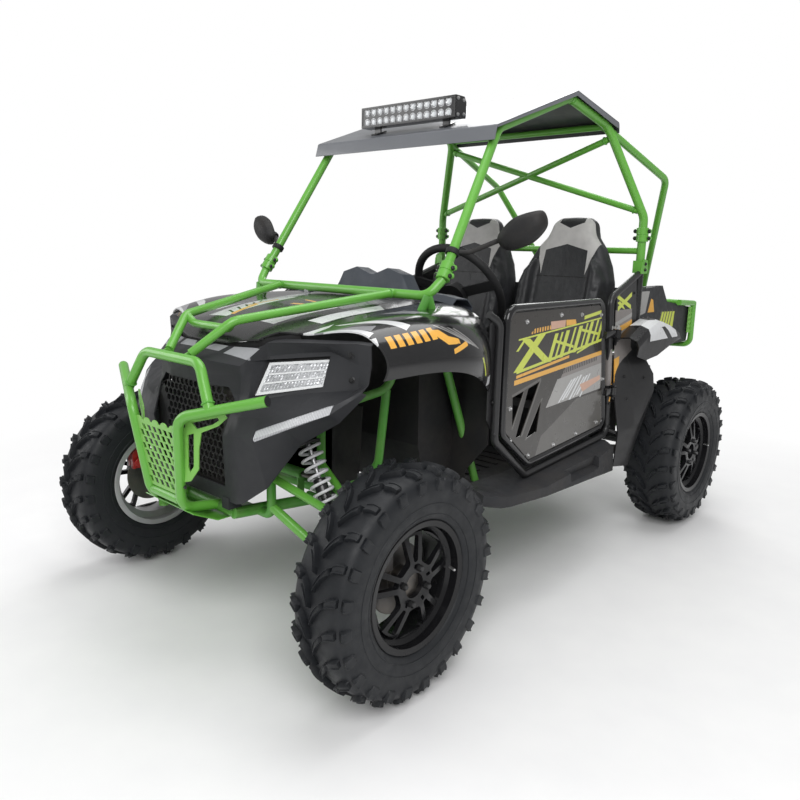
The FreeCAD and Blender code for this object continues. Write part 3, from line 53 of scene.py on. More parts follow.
def aimCamera(cfg):  # azimuth from the front, pitch below level, roll about the line of sight
    az, el, roll = (math.radians(cfg[k]) for k in ("azimuth", "pitch", "roll"))
    back = Vector((math.sin(az) * math.cos(el), -math.cos(az) * math.cos(el), math.sin(el)))
    right = (-back).cross(Vector((0, 0, 1))).normalized()
    up = right.cross(-back)
    right, up = math.cos(roll) * right + math.sin(roll) * up, math.cos(roll) * up - math.sin(roll) * right
    lens = bpy.data.cameras.new("photoLens")
    lens.lens, lens.sensor_width, lens.sensor_fit = cfg["lens"], 36, "HORIZONTAL"
    lens.shift_x, lens.shift_y = cfg["shift"]
    lens.clip_start, lens.clip_end = 0.05, 60
    camera = bpy.data.objects.new("photoCamera", lens)
    scene.collection.objects.link(camera)
    camera.matrix_world = Matrix.Translation(cfg["place"]) @ Matrix((right, up, back)).transposed().to_4x4()
    scene.camera = camera


aimCamera(view)
scene.view_settings.view_transform = "Standard"

light = {"key": ((2.9, -3.0, 3.4), 2.6, 120), "fill": ((-3.4, -2.8, 2.2), 2.4, 48),
         "rear": ((-1.6, 3.6, 3.0), 2.6, 60), "top": ((0.2, 0.2, 4.4), 3.0, 80), "sky": 0.42}


def hangLamp(name, place, size, power):  # a square soft box that faces the middle of the vehicle
    lamp = bpy.data.lights.new(name, "AREA")
    lamp.size, lamp.energy = size, power
    ob = bpy.data.objects.new(name, lamp)
    scene.collection.objects.link(ob)
    ob.location = place
    ob.rotation_euler = (Vector(place) - Vector((0, 0, 0.7))).to_track_quat("Z", "Y").to_euler()


for lampName in ("key", "fill", "rear", "top"):
    hangLamp(lampName + "Box", *light[lampName])


class Sock:  # one socket; sums and products on it add Math nodes
    def __init__(self, sheet, socket):
        self.sheet, self.socket = sheet, socket

    def maths(self, operation, *values):
        return self.sheet.add("ShaderNodeMath", {"operation": operation}, dict(enumerate(values)))

    def __add__(self, other): return self.maths("ADD", self, other)
    def __sub__(self, other): return self.maths("SUBTRACT", self, other)
    def __mul__(self, other): return self.maths("MULTIPLY", self, other)
    def __truediv__(self, other): return self.maths("DIVIDE", self, other)
    def __gt__(self, other): return self.maths("GREATER_THAN", self, other)
    def __lt__(self, other): return self.maths("LESS_THAN", self, other)
    def __abs__(self): return self.maths("ABSOLUTE", self)
    def orWith(self, other): return self.maths("MAXIMUM", self, other)
    def wrap(self, size): return self.maths("PINGPONG", self, size)


def anyOf(masks):
    out = masks[0]
    for mask in masks[1:]:
        out = out.orWith(mask)
    return out


def signedArea(p):  # twice the area inside a loop, above zero when it runs anticlockwise
    return np.sum(p[:, 0] * np.roll(p[:, 1], -1) - p[:, 1] * np.roll(p[:, 0], -1))


def patch(plane, *corners):  # 1 inside a convex patch of the plane (u, v) whose corners are given in mm
    u, v = plane
    p = np.array(corners, float) / 1000
    sense = 1 if signedArea(p) > 0 else -1
    inside = None
    for a, b in zip(p, np.roll(p, -1, 0)):
        du, dv = (b - a) * sense
        edge = (v * du - u * dv) > float(a[1] * du - a[0] * dv)
        inside = edge if inside is None else inside * edge
    return inside


def patches(plane, *loops):
    return anyOf([patch(plane, *loop) for loop in loops])


def bars(plane, *rows):  # stripes, each (from u, from v, to u, to v, width) in mm, their ends cut level
    loops = []
    for a, b, c, d, width in rows:
        slant = width / 2 * math.hypot(c - a, d - b)
        if abs(d - b) > abs(c - a) * 0.5:
            h = slant / abs(d - b)
            loops.append([(a - h, b), (a + h, b), (c + h, d), (c - h, d)])
        else:
            h = slant / abs(c - a)
            loops.append([(a, b - h), (a, b + h), (c, d + h), (c, d - h)])
    return patches(plane, *loops)


shaderInput = {"colour": "Base Color", "rough": "Roughness", "metal": "Metallic", "coat": "Coat Weight",
               "coatRough": "Coat Roughness", "normal": "Normal", "glow": "Emission Color",
               "glowPower": "Emission Strength", "gloss": "Specular IOR Level"}


class Finish:  # one material: its node tree, and the few moves that its recipe uses
    def __init__(self, name):
        self.material = bpy.data.materials.new(name)
        self.material.use_nodes = True
        self.tree = self.material.node_tree
        self.shader = self.tree.nodes["Principled BSDF"]
        self.place = self.add("ShaderNodeTexCoord", out=3)

    def add(self, kind, settings=None, sockets=None, out=0):
        node = self.tree.nodes.new(kind)
        for key, value in (settings or {}).items():
            setattr(node, key, value)
        for key, value in (sockets or {}).items():
            self.feed(node.inputs[key], value)
        return Sock(self, node.outputs[out])

    def feed(self, socket, value):
        if isinstance(value, Sock):
            self.tree.links.new(value.socket, socket)
        elif isinstance(value, tuple) and socket.type == "RGBA":
            socket.default_value = (*value, 1)
        else:
            socket.default_value = value

    def xyz(self):  # Object coordinates as three numbers
        return [self.add("ShaderNodeSeparateXYZ", None, {0: self.place}, out=k) for k in range(3)]

    def noise(self, scale, detail=4.0, rough=0.55, stretch=None):
        vector = self.place
        if stretch:
            vector = self.add("ShaderNodeMapping", None, {"Vector": vector, "Scale": stretch})
        sockets = {"Vector": vector, "Scale": scale, "Detail": detail, "Roughness": rough}
        return self.add("ShaderNodeTexNoise", None, sockets)

    def mix(self, factor, low, high):
        return self.add("ShaderNodeMix", {"data_type": "RGBA"}, {0: factor, 6: low, 7: high}, out=2)

    def span(self, value, low, high, start=0.0, end=1.0):  # a straight line from low..high to start..end, held outside
        return self.add("ShaderNodeMapRange", None, {0: value, 1: low, 2: high, 3: start, 4: end})

    def bump(self, height, depth):
        return self.add("ShaderNodeBump", None, {"Strength": 1.0, "Distance": depth, "Height": height})

    def done(self, **sockets):
        for key, value in sockets.items():
            self.feed(self.shader.inputs[shaderInput[key]], value)
        return self.material


# A colour that drifts a little, gloss that drifts with it, fine grain and a film of dust
def plainFinish(name, colour, rough, grain, shift, metal=0.0, coat=0.0, depth=0.0, grainSize=900.0, dust=None,
                gloss=0.5):
    f = Finish(name)
    drift = f.noise(grain * 0.12, 5.0, 0.6)
    dark = tuple(max(0.0, c * (1 - shift)) for c in colour)
    pale = tuple(min(1.0, c * (1 + shift) + 0.004) for c in colour)
    base = f.mix(f.span(drift, 0.3, 0.7), dark, pale)
    if dust:
        film = f.span(f.noise(9.0, 6.0, 0.65), 0.42, 0.72, 0.0, dust)
        base = f.mix(film, base, dustTone)
    if depth:
        f.done(normal=f.bump(f.noise(grainSize, 2.0), depth))
    rough = f.span(f.noise(grain, 3.0), 0.25, 0.75, rough * 0.85, min(1.0, rough * 1.2))
    return f.done(colour=base, rough=rough, metal=metal, coat=coat, coatRough=0.06, gloss=gloss)


dustTone = (0.30, 0.24, 0.17)
recipes = {  # key: name, colour, roughness, grain of the drift, its strength, and what else differs
    "green": ("greenPowderCoat", (0.125, 0.400, 0.048), 0.34, 24, 0.07, dict(coat=0.3, depth=0.00012, grainSize=700)),
    # painted light: a paler copy of the green powder coat for the flat plates, for the light they catch
    "greenPaintedLight": ("greenPlatePaintedLight", (0.200, 0.480, 0.085), 0.42, 24, 0.07, dict(coat=0.15, depth=0.0001)),
    # painted shade: a darker copy of the green powder coat for the frame under the body, with real dust
    "greenPaintedShade": ("greenFramePaintedShade", (0.070, 0.300, 0.032), 0.42, 24, 0.1, dict(dust=0.25)),
    "blackGloss": ("blackPaint", (0.007, 0.007, 0.008), 0.18, 20, 0.2, dict(coat=0.45, gloss=0.4)),
    "blackSatin": ("blackTubePaint", (0.010, 0.010, 0.011), 0.27, 30, 0.25, dict(coat=0.3, depth=0.0001)),
    "moulding": ("charcoalMoulding", (0.026, 0.027, 0.030), 0.55, 40, 0.14,
                 dict(depth=0.00035, grainSize=850, dust=0.05, gloss=0.32)),
    "mouldingDark": ("blackMoulding", (0.012, 0.012, 0.013), 0.55, 40, 0.2,
                     dict(depth=0.0003, grainSize=850, dust=0.04, gloss=0.3)),
    "dashMoulding": ("slateMoulding", (0.052, 0.060, 0.074), 0.55, 40, 0.1,
                     dict(depth=0.0004, grainSize=800, gloss=0.35)),
    "roof": ("roofSheet", (0.135, 0.142, 0.156), 0.32, 14, 0.10, dict(coat=0.25)),
    # painted shade: a dark copy of the roof sheet for its underside, with real dust
    "roofPaintedShade": ("roofUndersidePaintedShade", (0.034, 0.037, 0.041), 0.5, 20, 0.15, dict(dust=0.1)),
    # painted highlight: pale bluish-grey rubber for the lug edges
    "tyreEdgeHighlight": ("lugEdgePaintedHighlight", (0.150, 0.158, 0.170), 0.42, 60, 0.35, dict(gloss=0.6)),
    "facet": ("lampFacet", (0.62, 0.63, 0.65), 0.28, 60, 0.25, dict(metal=0.55, coat=1.0)),
    "frameBlack": ("blackFramePaint", (0.012, 0.012, 0.013), 0.38, 30, 0.3, dict(coat=0.2, dust=0.2)),
    "rubber": ("softRubber", (0.012, 0.012, 0.013), 0.60, 50, 0.2, dict(depth=0.0003, grainSize=600, gloss=0.32)),
    "steel": ("bareSteel", (0.42, 0.42, 0.43), 0.34, 80, 0.15, dict(metal=1.0)),
    "steelDark": ("oiledSteel", (0.16, 0.155, 0.15), 0.42, 60, 0.3, dict(metal=1.0, dust=0.3)),
    "cast": ("castAlloy", (0.28, 0.28, 0.29), 0.5, 120, 0.25, dict(metal=0.9, depth=0.0006, grainSize=420, dust=0.35)),
    "springWhite": ("springCoat", (0.72, 0.72, 0.74), 0.35, 40, 0.05, dict(coat=0.3)),
    "boltPale": ("zincBolt", (0.50, 0.50, 0.50), 0.32, 90, 0.15, dict(metal=0.9)),
    "boltDark": ("blackBolt", (0.035, 0.035, 0.036), 0.38, 90, 0.3, dict(metal=0.6)),
    "red": ("redCaliperPaint", (0.42, 0.018, 0.014), 0.35, 40, 0.12, dict(coat=0.4)),
    "silver": ("silverRimPaint", (0.46, 0.47, 0.48), 0.36, 40, 0.1, dict(metal=0.7, dust=0.25)),
    "tailRed": ("redLens", (0.40, 0.006, 0.006), 0.12, 40, 0.2, dict(coat=1.0)),
    "ledGlass": ("lampBody", (0.62, 0.64, 0.66), 0.14, 40, 0.08, dict(coat=1.0)),
    "weldGreen": ("greenWeld", (0.095, 0.350, 0.042), 0.42, 300, 0.2, dict(depth=0.0006, grainSize=420)),
    "rimBlack": ("glossRimPaint", (0.006, 0.006, 0.007), 0.24, 30, 0.3, dict(coat=0.12, gloss=0.22)),
    "bezel": ("bezelWhite", (0.80, 0.81, 0.82), 0.2, 30, 0.04, dict(coat=0.8)),
    "chrome": ("reflector", (0.80, 0.81, 0.83), 0.12, 40, 0.06, dict(metal=1.0)),
}
paint = {key: plainFinish(*row[:5], **row[5]) for key, row in recipes.items()}
print("finishes mixed:", len(paint))

# Shapes: each maker returns (vertices, faces), and a piece gathers several of them with their finishes


def unit(v):
    return v / np.linalg.norm(v, axis=-1, keepdims=True)


def gridFaces(rows, cols, closeRows=False, closeCols=False):  # quads of a grid with rows x cols vertices
    r = np.arange(rows if closeRows else rows - 1)[:, None]
    c = np.arange(cols if closeCols else cols - 1)[None, :]
    r2, c2 = (r + 1) % rows, (c + 1) % cols
    quads = np.stack([r * cols + c, r * cols + c2, r2 * cols + c2, r2 * cols + c], -1)
    return quads.reshape(-1, 4)


def roundCorners(points, bend):  # each corner becomes an arc of radius bend, tangent to both runs
    straight, share, steps = 1.52, 0.45, 7  # half angle of a corner left as it is, most of a run an arc may take
    p = [np.array(q, float) / 1000 for q in points]
    line = [p[0]]
    for a, b, c in zip(p, p[1:], p[2:]):
        u, w = unit(a - b), unit(c - b)
        half = math.acos(max(-1, min(1, float(u @ w)))) / 2
        if half > straight:
            line.append(b)
            continue
        cut = min(bend / 1000 / math.tan(half), share * np.linalg.norm(a - b), share * np.linalg.norm(c - b))
        radius = cut * math.tan(half)
        centre = b + unit(u + w) * radius / math.sin(half)
        start, end = b + u * cut - centre, b + w * cut - centre
        turn = math.acos(max(-1, min(1, float(start @ end) / radius ** 2)))
        t = np.linspace(0, 1, steps)[:, None]
        line += list(centre + (np.sin((1 - t) * turn) * start + np.sin(t * turn) * end) / math.sin(turn))
    return np.array(line + [p[-1]])


def carry(line, profile, closed=False):  # a profile (across, up) carried along a line, turned as little as possible
    n = len(line)
    along = np.roll(line, -1, 0) - np.roll(line, 1, 0)
    if not closed:
        along[0], along[-1] = line[1] - line[0], line[-1] - line[-2]
    along = unit(along)
    side = np.cross(along[0], (0.0, 0.0, 1.0))
    if np.linalg.norm(side) < 0.2:  # the line starts upright
        side = np.cross(along[0], (0.0, 1.0, 0.0))
    sides = [unit(side)]
    for k in range(1, n):
        sides.append(unit(sides[-1] - along[k] * (sides[-1] @ along[k])))
    sides = np.array(sides)
    ups = np.cross(sides, along)
    shape = np.asarray(profile, float)
    v = line[:, None] + sides[:, None] * shape[None, :, :1] + ups[:, None] * shape[None, :, 1:]
    f = gridFaces(n, len(shape), closed, True)
    v = v.reshape(-1, 3)
    if not closed:
        m = len(shape)
        v = np.vstack([v, line[:1], line[-1:]])
        k = np.arange(m)
        last = (n - 1) * m
        f = [*f, *([(i + 1) % m, i, n * m] for i in k), *([last + i, last + (i + 1) % m, n * m + 1] for i in k)]
    return v, [list(q) for q in f]


def ring(diameter, sides):  # circle of that diameter in mm
    t = np.arange(sides) * 2 * pi / sides
    return np.stack([np.cos(t), np.sin(t)], 1) * diameter / 2000


def tube(points, diameter, bend=70, sides=24):
    return carry(roundCorners(points, bend), ring(diameter, sides))


def frameOf(axis):  # an axis and two directions square to it
    a = unit(np.array(axis, float))
    u = unit(np.cross(a, (0.0, 0.0, 1.0) if abs(a[2]) < 0.9 else (1.0, 0.0, 0.0)))
    return a, u, np.cross(a, u)


def turned(profile, place, axis, sides):  # profile of (radius, height) in mm turned round an axis at place
    a, u, w = frameOf(axis)
    p = np.array(profile, float) / 1000
    t = np.arange(sides) * 2 * pi / sides
    circle = np.cos(t)[:, None] * u + np.sin(t)[:, None] * w
    v = np.array(place, float) / 1000 + p[:, None, 1:] * a + p[:, None, :1] * circle[None]
    return v.reshape(-1, 3), gridFaces(len(p), sides, False, True).tolist()


def bolt(place, axis, s):  # a flanged hex head of size s that stands on a face
    flange = [(0, 0), (s * 1.15, 0), (s * 1.15, s * 0.16), (s * 0.9, s * 0.3), (0, s * 0.3)]
    hexHead = [(0, s * 0.25), (s * 0.72, s * 0.25), (s * 0.72, s * 0.85), (s * 0.6, s * 0.98), (0, s * 0.98)]
    return join([turned(flange, place, axis, 16), turned(hexHead, place, axis, 6)])


def join(shapes):  # several shapes as one
    allV, allF, base = [], [], 0
    for v, f in shapes:
        allV.append(np.asarray(v))
        allF += [[i + base for i in q] for q in f]
        base += len(v)
    return np.vstack(allV), allF


def flip(shape):  # mirror image across x = 0, with its faces turned round again
    return np.array(shape[0]) * (-1, 1, 1), [list(q)[::-1] for q in shape[1]]


def both(shape):
    return join([shape, flip(shape)])


def prism(outline, axis, low, high):  # a flat outline in mm drawn out along X, Y or Z
    p = np.array(outline, float)
    n = len(p)
    k = "XYZ".index(axis)
    v = np.zeros((2 * n, 3))
    others = [i for i in range(3) if i != k]
    v[:n, others[0]], v[:n, others[1]], v[:n, k] = p[:, 0], p[:, 1], low
    v[n:, others[0]], v[n:, others[1]], v[n:, k] = p[:, 0], p[:, 1], high
    sides = [[i, n + i, n + (i + 1) % n, (i + 1) % n] for i in range(n)]
    return v / 1000, [list(range(n)), list(range(2 * n - 1, n - 1, -1))] + sides


def weldRing(place, axis, diameter):  # a rippled bead round a tube where it meets another
    u, w = frameOf(axis)[1:]
    t = np.linspace(0, 2 * pi, 73)[:-1]
    radius = diameter / 2000 + 0.0006 * np.sin(t * 24)
    line = np.array(place, float) / 1000 + radius[:, None] * (np.cos(t)[:, None] * u + np.sin(t)[:, None] * w)
    return carry(line, ring(5.0, 8), True)


meshGap = {"own": 2e-6, "sliver": 1e-7, "cad": 1e-5}  # corners this close become one, in metres


def showPiece(name, mesh, body, stands, bevel, angle):  # smooth shading, eased edges and a place in the frame
    mesh.shade_smooth()
    mesh.set_sharp_from_angle(angle=math.radians(angle))
    ob = bpy.data.objects.new(name, mesh)
    scene.collection.objects.link(ob)
    if bevel:
        soft = ob.modifiers.new("softEdges", "BEVEL")
        soft.width, soft.segments, soft.limit_method = bevel / 1000, 2, "ANGLE"
        soft.angle_limit, soft.harden_normals = math.radians(angle), True
    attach(ob, body)
    if stands:
        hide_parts(*stands)
    return ob


def piece(name, parts, body, slotName, stands=(), bevel=0.0, angle=38):  # shapes and finishes, merged, facing out
    mesh = bpy.data.meshes.new(name)
    keys = list(dict.fromkeys(key for shape, key in parts))
    v, faces = join([shape for shape, key in parts])
    marks = [keys.index(key) for shape, key in parts for _ in shape[1]]
    mesh.from_pydata(v.tolist(), [], [[int(i) for i in q] for q in faces])
    for key in keys:
        mesh.materials.append(paint[key])
    mesh.polygons.foreach_set("material_index", marks)
    bm = bmesh.new()
    bm.from_mesh(mesh)
    bmesh.ops.remove_doubles(bm, verts=bm.verts, dist=meshGap["own"])
    bmesh.ops.dissolve_degenerate(bm, edges=bm.edges, dist=meshGap["sliver"])
    bmesh.ops.recalc_face_normals(bm, faces=bm.faces)
    bm.to_mesh(mesh)
    bm.free()
    return showPiece(name, mesh, body, stands, bevel, angle)


def dress(node, key):  # a copy of the solid: merged, its flat faces made whole, its edges eased
    mesh = nodes[node].data.copy()
    bm = bmesh.new()
    bm.from_mesh(mesh)
    bmesh.ops.remove_doubles(bm, verts=bm.verts, dist=meshGap["cad"])
    flat = math.radians(0.6)
    bmesh.ops.dissolve_limit(bm, angle_limit=flat, verts=bm.verts, edges=bm.edges)
    bm.to_mesh(mesh)
    bm.free()
    mesh.materials.clear()
    mesh.materials.append(paint[key])
    showPiece(node + "Dressed", mesh, nodeBody[node], [node], bevel=1.2, angle=30)


nodes = frame["nodes"]
groups = frame["record"]["behaviour"]["bodies"]
nodeBody = {n: body for body, members in groups.items() for n in members}
nodeSlot = {entry["node"]: entry["material_slot"] for entry in frame["record"]["subparts"]}

tubes = {"pillarFoot": (395, -532, 1000), "screenTop": (358, -244, 1440), "roofPeak": (360, 163, 1588),
         "roofBack": (360, 450, 1535), "shoulder": (482, 552, 1215), "cageFoot": (482, 562, 470),
         "braceBend": (415, 885, 1380), "braceFoot": (215, 1198.5, 868), "harness": 1092,
         "pillar": 28, "cage": 32, "brace": 24}


def across(p):
    return (-p[0], p[1], p[2])


def part(a, b, share):
    return tuple(i + (j - i) * share for i, j in zip(a, b))


def tubeClamp(low, high, share, diameter):  # split sleeve with two ears on each side, and the heads of their bolts
    axis = unit(np.subtract(high, low))
    at = np.array(part(low, high, share), float)
    r, bore = diameter / 2 + 6.5, diameter / 2 + 0.2
    sleeve = turned([(bore, 0), (r - 1.5, 0), (r, 1.5), (r, 24.6), (r - 1.6, 25.2), (r - 1.6, 26.8), (r, 27.4),
                     (r, 50.5), (r - 1.5, 52), (bore, 52)], at, axis, 32)
    spots = [at + axis * h + (side * (r + 5), 0, 0) for side in (-1, 1) for h in (13, 39)]
    ear = [(0, -4.6), (7.5, -4.6), (8, -4), (8, 4), (7.5, 4.6), (0, 4.6)]
    ears = [turned(ear, spot, (0, 1, 0), 20) for spot in spots]
    return join([sleeve, *ears]), join([bolt(spot + (0, -4.6, 0), (0, -1, 0), 6) for spot in spots])


def cageSide():
    t = tubes
    names = ("pillarFoot", "screenTop", "roofPeak", "roofBack", "shoulder", "cageFoot")
    foot, top, peak, back, sh, low = (t[k] for k in names)
    seam = part(sh, low, 0.262)  # green above the shoulder line, black below it
    runs = [tube([foot, top, peak], t["pillar"]), tube([peak, back, sh, seam], t["cage"]),
            tube([part(back, sh, 0.05), t["braceBend"], t["braceFoot"]], t["brace"] + 4)]
    beads = [weldRing(part(peak, back, 0.045), np.subtract(back, peak), 31),
             weldRing(part(back, sh, 0.1), np.subtract(t["braceBend"], back), 29)]
    clamps, bolts = zip(tubeClamp(foot, top, 0, t["pillar"]), tubeClamp(sh, low, 0.05, t["cage"]))
    bracket = prism([(527, 1008), (580, 1008), (584, 1022), (575, 1058), (545, 1062), (530, 1040)], "X", 498.5, 502.5)
    wrapPlate = prism([(464, 1010), (500, 1010), (500, 1056), (464, 1056)], "Y", 531.5, 534.5)
    bracketBolts = [bolt((502.5, 556, z), (1, 0, 0), 6) for z in (1022, 1044)]
    return [(join(runs), "green"), (tube([seam, low], t["cage"]), "blackSatin"), (join(beads), "weldGreen"),
            (join([*clamps, bracket, wrapPlate]), "green"), (join([*bolts, *bracketBolts]), "boltDark")]


def mirrorParts(parts):
    return [(flip(shape), key) for shape, key in parts]


side = cageSide()
piece("cageLeftTubes", side, "chassis", "green_tube", ["cage_left"])
piece("cageRightTubes", mirrorParts(side), "chassis", "green_tube", ["cage_right"])


def cageCross():  # bars over the screen, behind the roof and at the harness, and a cross between
    t = tubes
    high, low = part(t["roofBack"], t["shoulder"], 0.12), part(t["roofBack"], t["shoulder"], 0.94)
    bar = (t["shoulder"][0] - 14, t["shoulder"][1] + 5, t["harness"])
    ends = [(t["screenTop"], t["screenTop"][0] - 12), (t["roofBack"], t["roofBack"][0] - 14)]
    runs = [tube([(x, p[1], p[2]), (-x, p[1], p[2])], t["brace"]) for p, x in ends]
    runs.append(tube([bar, across(bar)], t["brace"]))
    beads = both(join([weldRing((0.985 * x, p[1], p[2]), (1, 0, 0), t["brace"] + 1) for p, x in ends]))
    crossBeads = []
    for a, b in ((high, across(low)), (across(high), low)):
        runs.append(tube([part(a, b, 0.018), part(a, b, 0.982)], t["brace"]))
        crossBeads += [weldRing(part(a, b, s), np.subtract(b, a), t["brace"] + 1) for s in (0.035, 0.965)]
    return [(join(runs), "green"), (join([beads, *crossBeads]), "weldGreen")]


piece("cageCrossTubes", cageCross(), "chassis", "green_tube", ["cage_cross"])
print("cage tubes bent")

nose = {"tab": (51, -1118, 808), "bend": (110, -1028, 891), "meet": (253, -580, 957), "cowl": (378, -572, 955),
        "crossEnd": (80, -1022, 868), "end": (340, -1101, 727), "corner": (112, -1200, 664), "low": (72, -1175, 412),
        "tail": (72, -1060, 396), "archFoot": (197, -1163, 688), "archCorner": (130, -1144, 797),
        "bumperTube": 27, "cowlTube": 27, "crossTube": 22, "railTube": 24,
        "plateTop": 628, "plateFoot": 36, "skid": 372.7}


def hoodTubes():
    n = nose
    cowl = [across(tubes["pillarFoot"]), across(n["cowl"]), n["cowl"], tubes["pillarFoot"]]
    cross = [across(n["bend"]), across(n["crossEnd"]), n["crossEnd"], n["bend"]]
    rail = tube([n["tab"], n["bend"], n["meet"]], n["railTube"], 60)
    beads = both(weldRing(part(n["meet"], n["bend"], 0.02), np.subtract(n["meet"], n["bend"]), n["railTube"]))
    runs = [tube(cowl, n["cowlTube"], 55), tube(cross, n["crossTube"], 30), rail, flip(rail)]
    return [(join(runs), "green"), (beads, "weldGreen")]


piece("hoodTubesBent", hoodTubes(), "chassis", "green_tube", ["hood_tubes"])


def cutFace(outline, holes, inside=()):  # triangles of a flat outline less its holes, with more points inside if wanted
    pts, loops = [Vector(p) for p in inside], []
    for loop in [outline] + holes:
        p = np.array(loop, float)
        loops.append(list(range(len(pts), len(pts) + len(p))))
        pts += [Vector(q) for q in (p if signedArea(p) > 0 else p[::-1])]
    tri = delaunay_2d_cdt(pts, [], loops, 1, 1e-5)
    return np.array([tuple(p) for p in tri[0]]), [list(f) for f, own in zip(tri[2], tri[5]) if list(own) == [0]]


def backed(faces, n):  # faces of a plate: its front, its back on points numbered n higher, its sides
    edges = dict.fromkeys((a, b) for f in faces for a, b in zip(f, f[1:] + f[:1]))
    sides = [[b, a, a + n, b + n] for a, b in edges if (b, a) not in edges]
    return faces + [[i + n for i in f[::-1]] for f in faces] + sides


def holedPlate(outline, holes, thickness, place, u, w):  # flat plate with holes, drawn out square to itself
    flat, faces = cutFace(outline, holes)
    o, u, w = (np.array(q, float) for q in (place, u, w))
    front = (o + flat[:, :1] * u + flat[:, 1:] * w) / 1000
    back = front - np.cross(u, w) * thickness / 1000
    return np.vstack([front, back]), backed(faces, len(front))


def bumperPlate():  # slanted slots in staggered rows under a scalloped top edge
    n = nose
    drop = n["corner"][2] - n["low"][2]
    lean, taper = (n["low"][1] - n["corner"][1]) / drop, (n["corner"][0] - n["low"][0]) / drop
    lowZ, topZ = n["low"][2] + n["plateFoot"], n["plateTop"]
    topHalf, lowHalf = n["corner"][0] - taper * (n["corner"][2] - topZ), n["low"][0] + taper * n["plateFoot"]
    edge = [(-lowHalf, lowZ), (lowHalf, lowZ), (topHalf, topZ)]
    scallops = np.arange(2, -3, -1) * topHalf * 1.55 / 4
    edge += [(mid + 14.5 * math.cos(a), topZ + 9 * math.sin(a)) for mid in scallops for a in np.linspace(0, pi, 9)]
    edge.append((-topHalf, topZ))
    rows, rowStep, slotStep, reach = 9, 18.2, 26, 11
    slot = np.array([(-11, 7.4), (5, 7.4), (11, -7.4), (-5, -7.4)])
    holes = []
    for row in range(rows):
        z = lowZ + 17 + row * rowStep
        half = lowHalf + taper * (z - lowZ) - 9
        xs = [(k + row % 2 / 2) * slotStep - 6.5 for k in range(-3, 4)]
        holes += [slot + (x, z) for x in xs if abs(x) + reach < half]
    up = unit(np.array([0, -lean, 1.0]))
    origin = (0, n["low"][1] + lean * n["low"][2] - 2.0, 0)
    raked = np.array([1, 1 / up[2]])
    return holedPlate(np.array(edge) * raked, [hole * raked for hole in holes], 2.5, origin, (1, 0, 0), up)


def bumper():
    n = nose
    size, z = n["bumperTube"], n["skid"]
    leg = tube([n["end"], n["corner"], n["low"], n["tail"]], size, 48)
    arch = tube([n["archFoot"], n["archCorner"], across(n["archCorner"]), across(n["archFoot"])], size, 46)
    runs = [leg, flip(leg), arch, tube([(66, -1172, 432), (-66, -1172, 432)], size)]
    beads = both(weldRing(part(n["archFoot"], n["archCorner"], 0.16), np.subtract(n["archCorner"], n["archFoot"]), 28))
    tab = both(prism([(-1156, 800), (-1112, 818), (-1108, 792), (-1140, 782)], "X", 48, 54))
    edge = [(94, 488), (114, 494), (136, 528), (138, 580), (146, 624), (190, 645), (214, 668), (204, 680), (150, 664),
            (100, 654)]
    holes = [[(122, 647), (190, 667), (194, 661), (176, 648), (134, 632)],
             [(110, 614), (126, 620), (123, 534), (112, 516), (108, 530)]]
    bracket = holedPlate(edge, holes, 4, (0, -1219.4, 0), (1, 0.434, 0), (0, 0, 1))
    skidLine = [(-1168, z + 34), (-1096, z), (-960, z), (-960, z - 3), (-1097, z - 3), (-1170, z + 32)]
    skid = prism(skidLine, "X", -118, 118)
    cap = turned([(0, 0), (11.5, 0), (12.8, 1.5), (12.8, 2.5), (0, 2.5)], n["end"], (0.78, 0.34, 0.21), 24)
    spots = [((54, -1133, 798), (1, 0, 0), 7), ((48, -1133, 798), (-1, 0, 0), 7),
             ((104, -1180, 478), (0, -1, 0), 5), ((108, -1180, 640), (0, -1, 0), 5)]
    bolts = join([bolt(*spot) for spot in spots])
    # the slotted plate and brackets take the paler green that paints light
    return [(join(runs), "green"), (beads, "weldGreen"), (join([bumperPlate(), both(bracket)]), "greenPaintedLight"),
            (join([tab, skid]), "green"), (both(bolts), "boltDark"), (both(cap), "rubber")]


piece("bumperBent", bumper(), "chassis", "green_tube", ["bumper"], bevel=0.6)
print("bumper built")

roof = {"lip": (-304, 1398), "front": (-292, 1440), "ridge": (163, 1605.5), "back": (476, 1547.7),
        "tail": (482, 1513.7), "half": 390}


def foldedSheet(line, low, high, half):  # a sheet between two offsets of a line in the y-z plane, from -half to half
    along = unit(np.gradient(line, axis=0))
    out = np.stack([0 * along[:, 0], -along[:, 2], along[:, 1]], 1)
    loop = np.vstack([line + out * low / 1000, (line + out * high / 1000)[::-1]])
    v = np.vstack([loop + (side * half / 1000, 0, 0) for side in (-1, 1)])
    m, n = len(line), len(loop)
    ends = [[i, i + 1, n - 2 - i, n - 1 - i] for i in range(m - 1)]
    return v, gridFaces(2, n, False, True).tolist() + ends + [[i + n for i in q[::-1]] for q in ends]


def strip(rows):  # closed strip through rows of four corners each, in metres
    m = len(rows)
    ends = [[3, 2, 1, 0], [4 * m - 4, 4 * m - 3, 4 * m - 2, 4 * m - 1]]
    return np.reshape(rows, (-1, 3)), gridFaces(m, 4, False, True).tolist() + ends


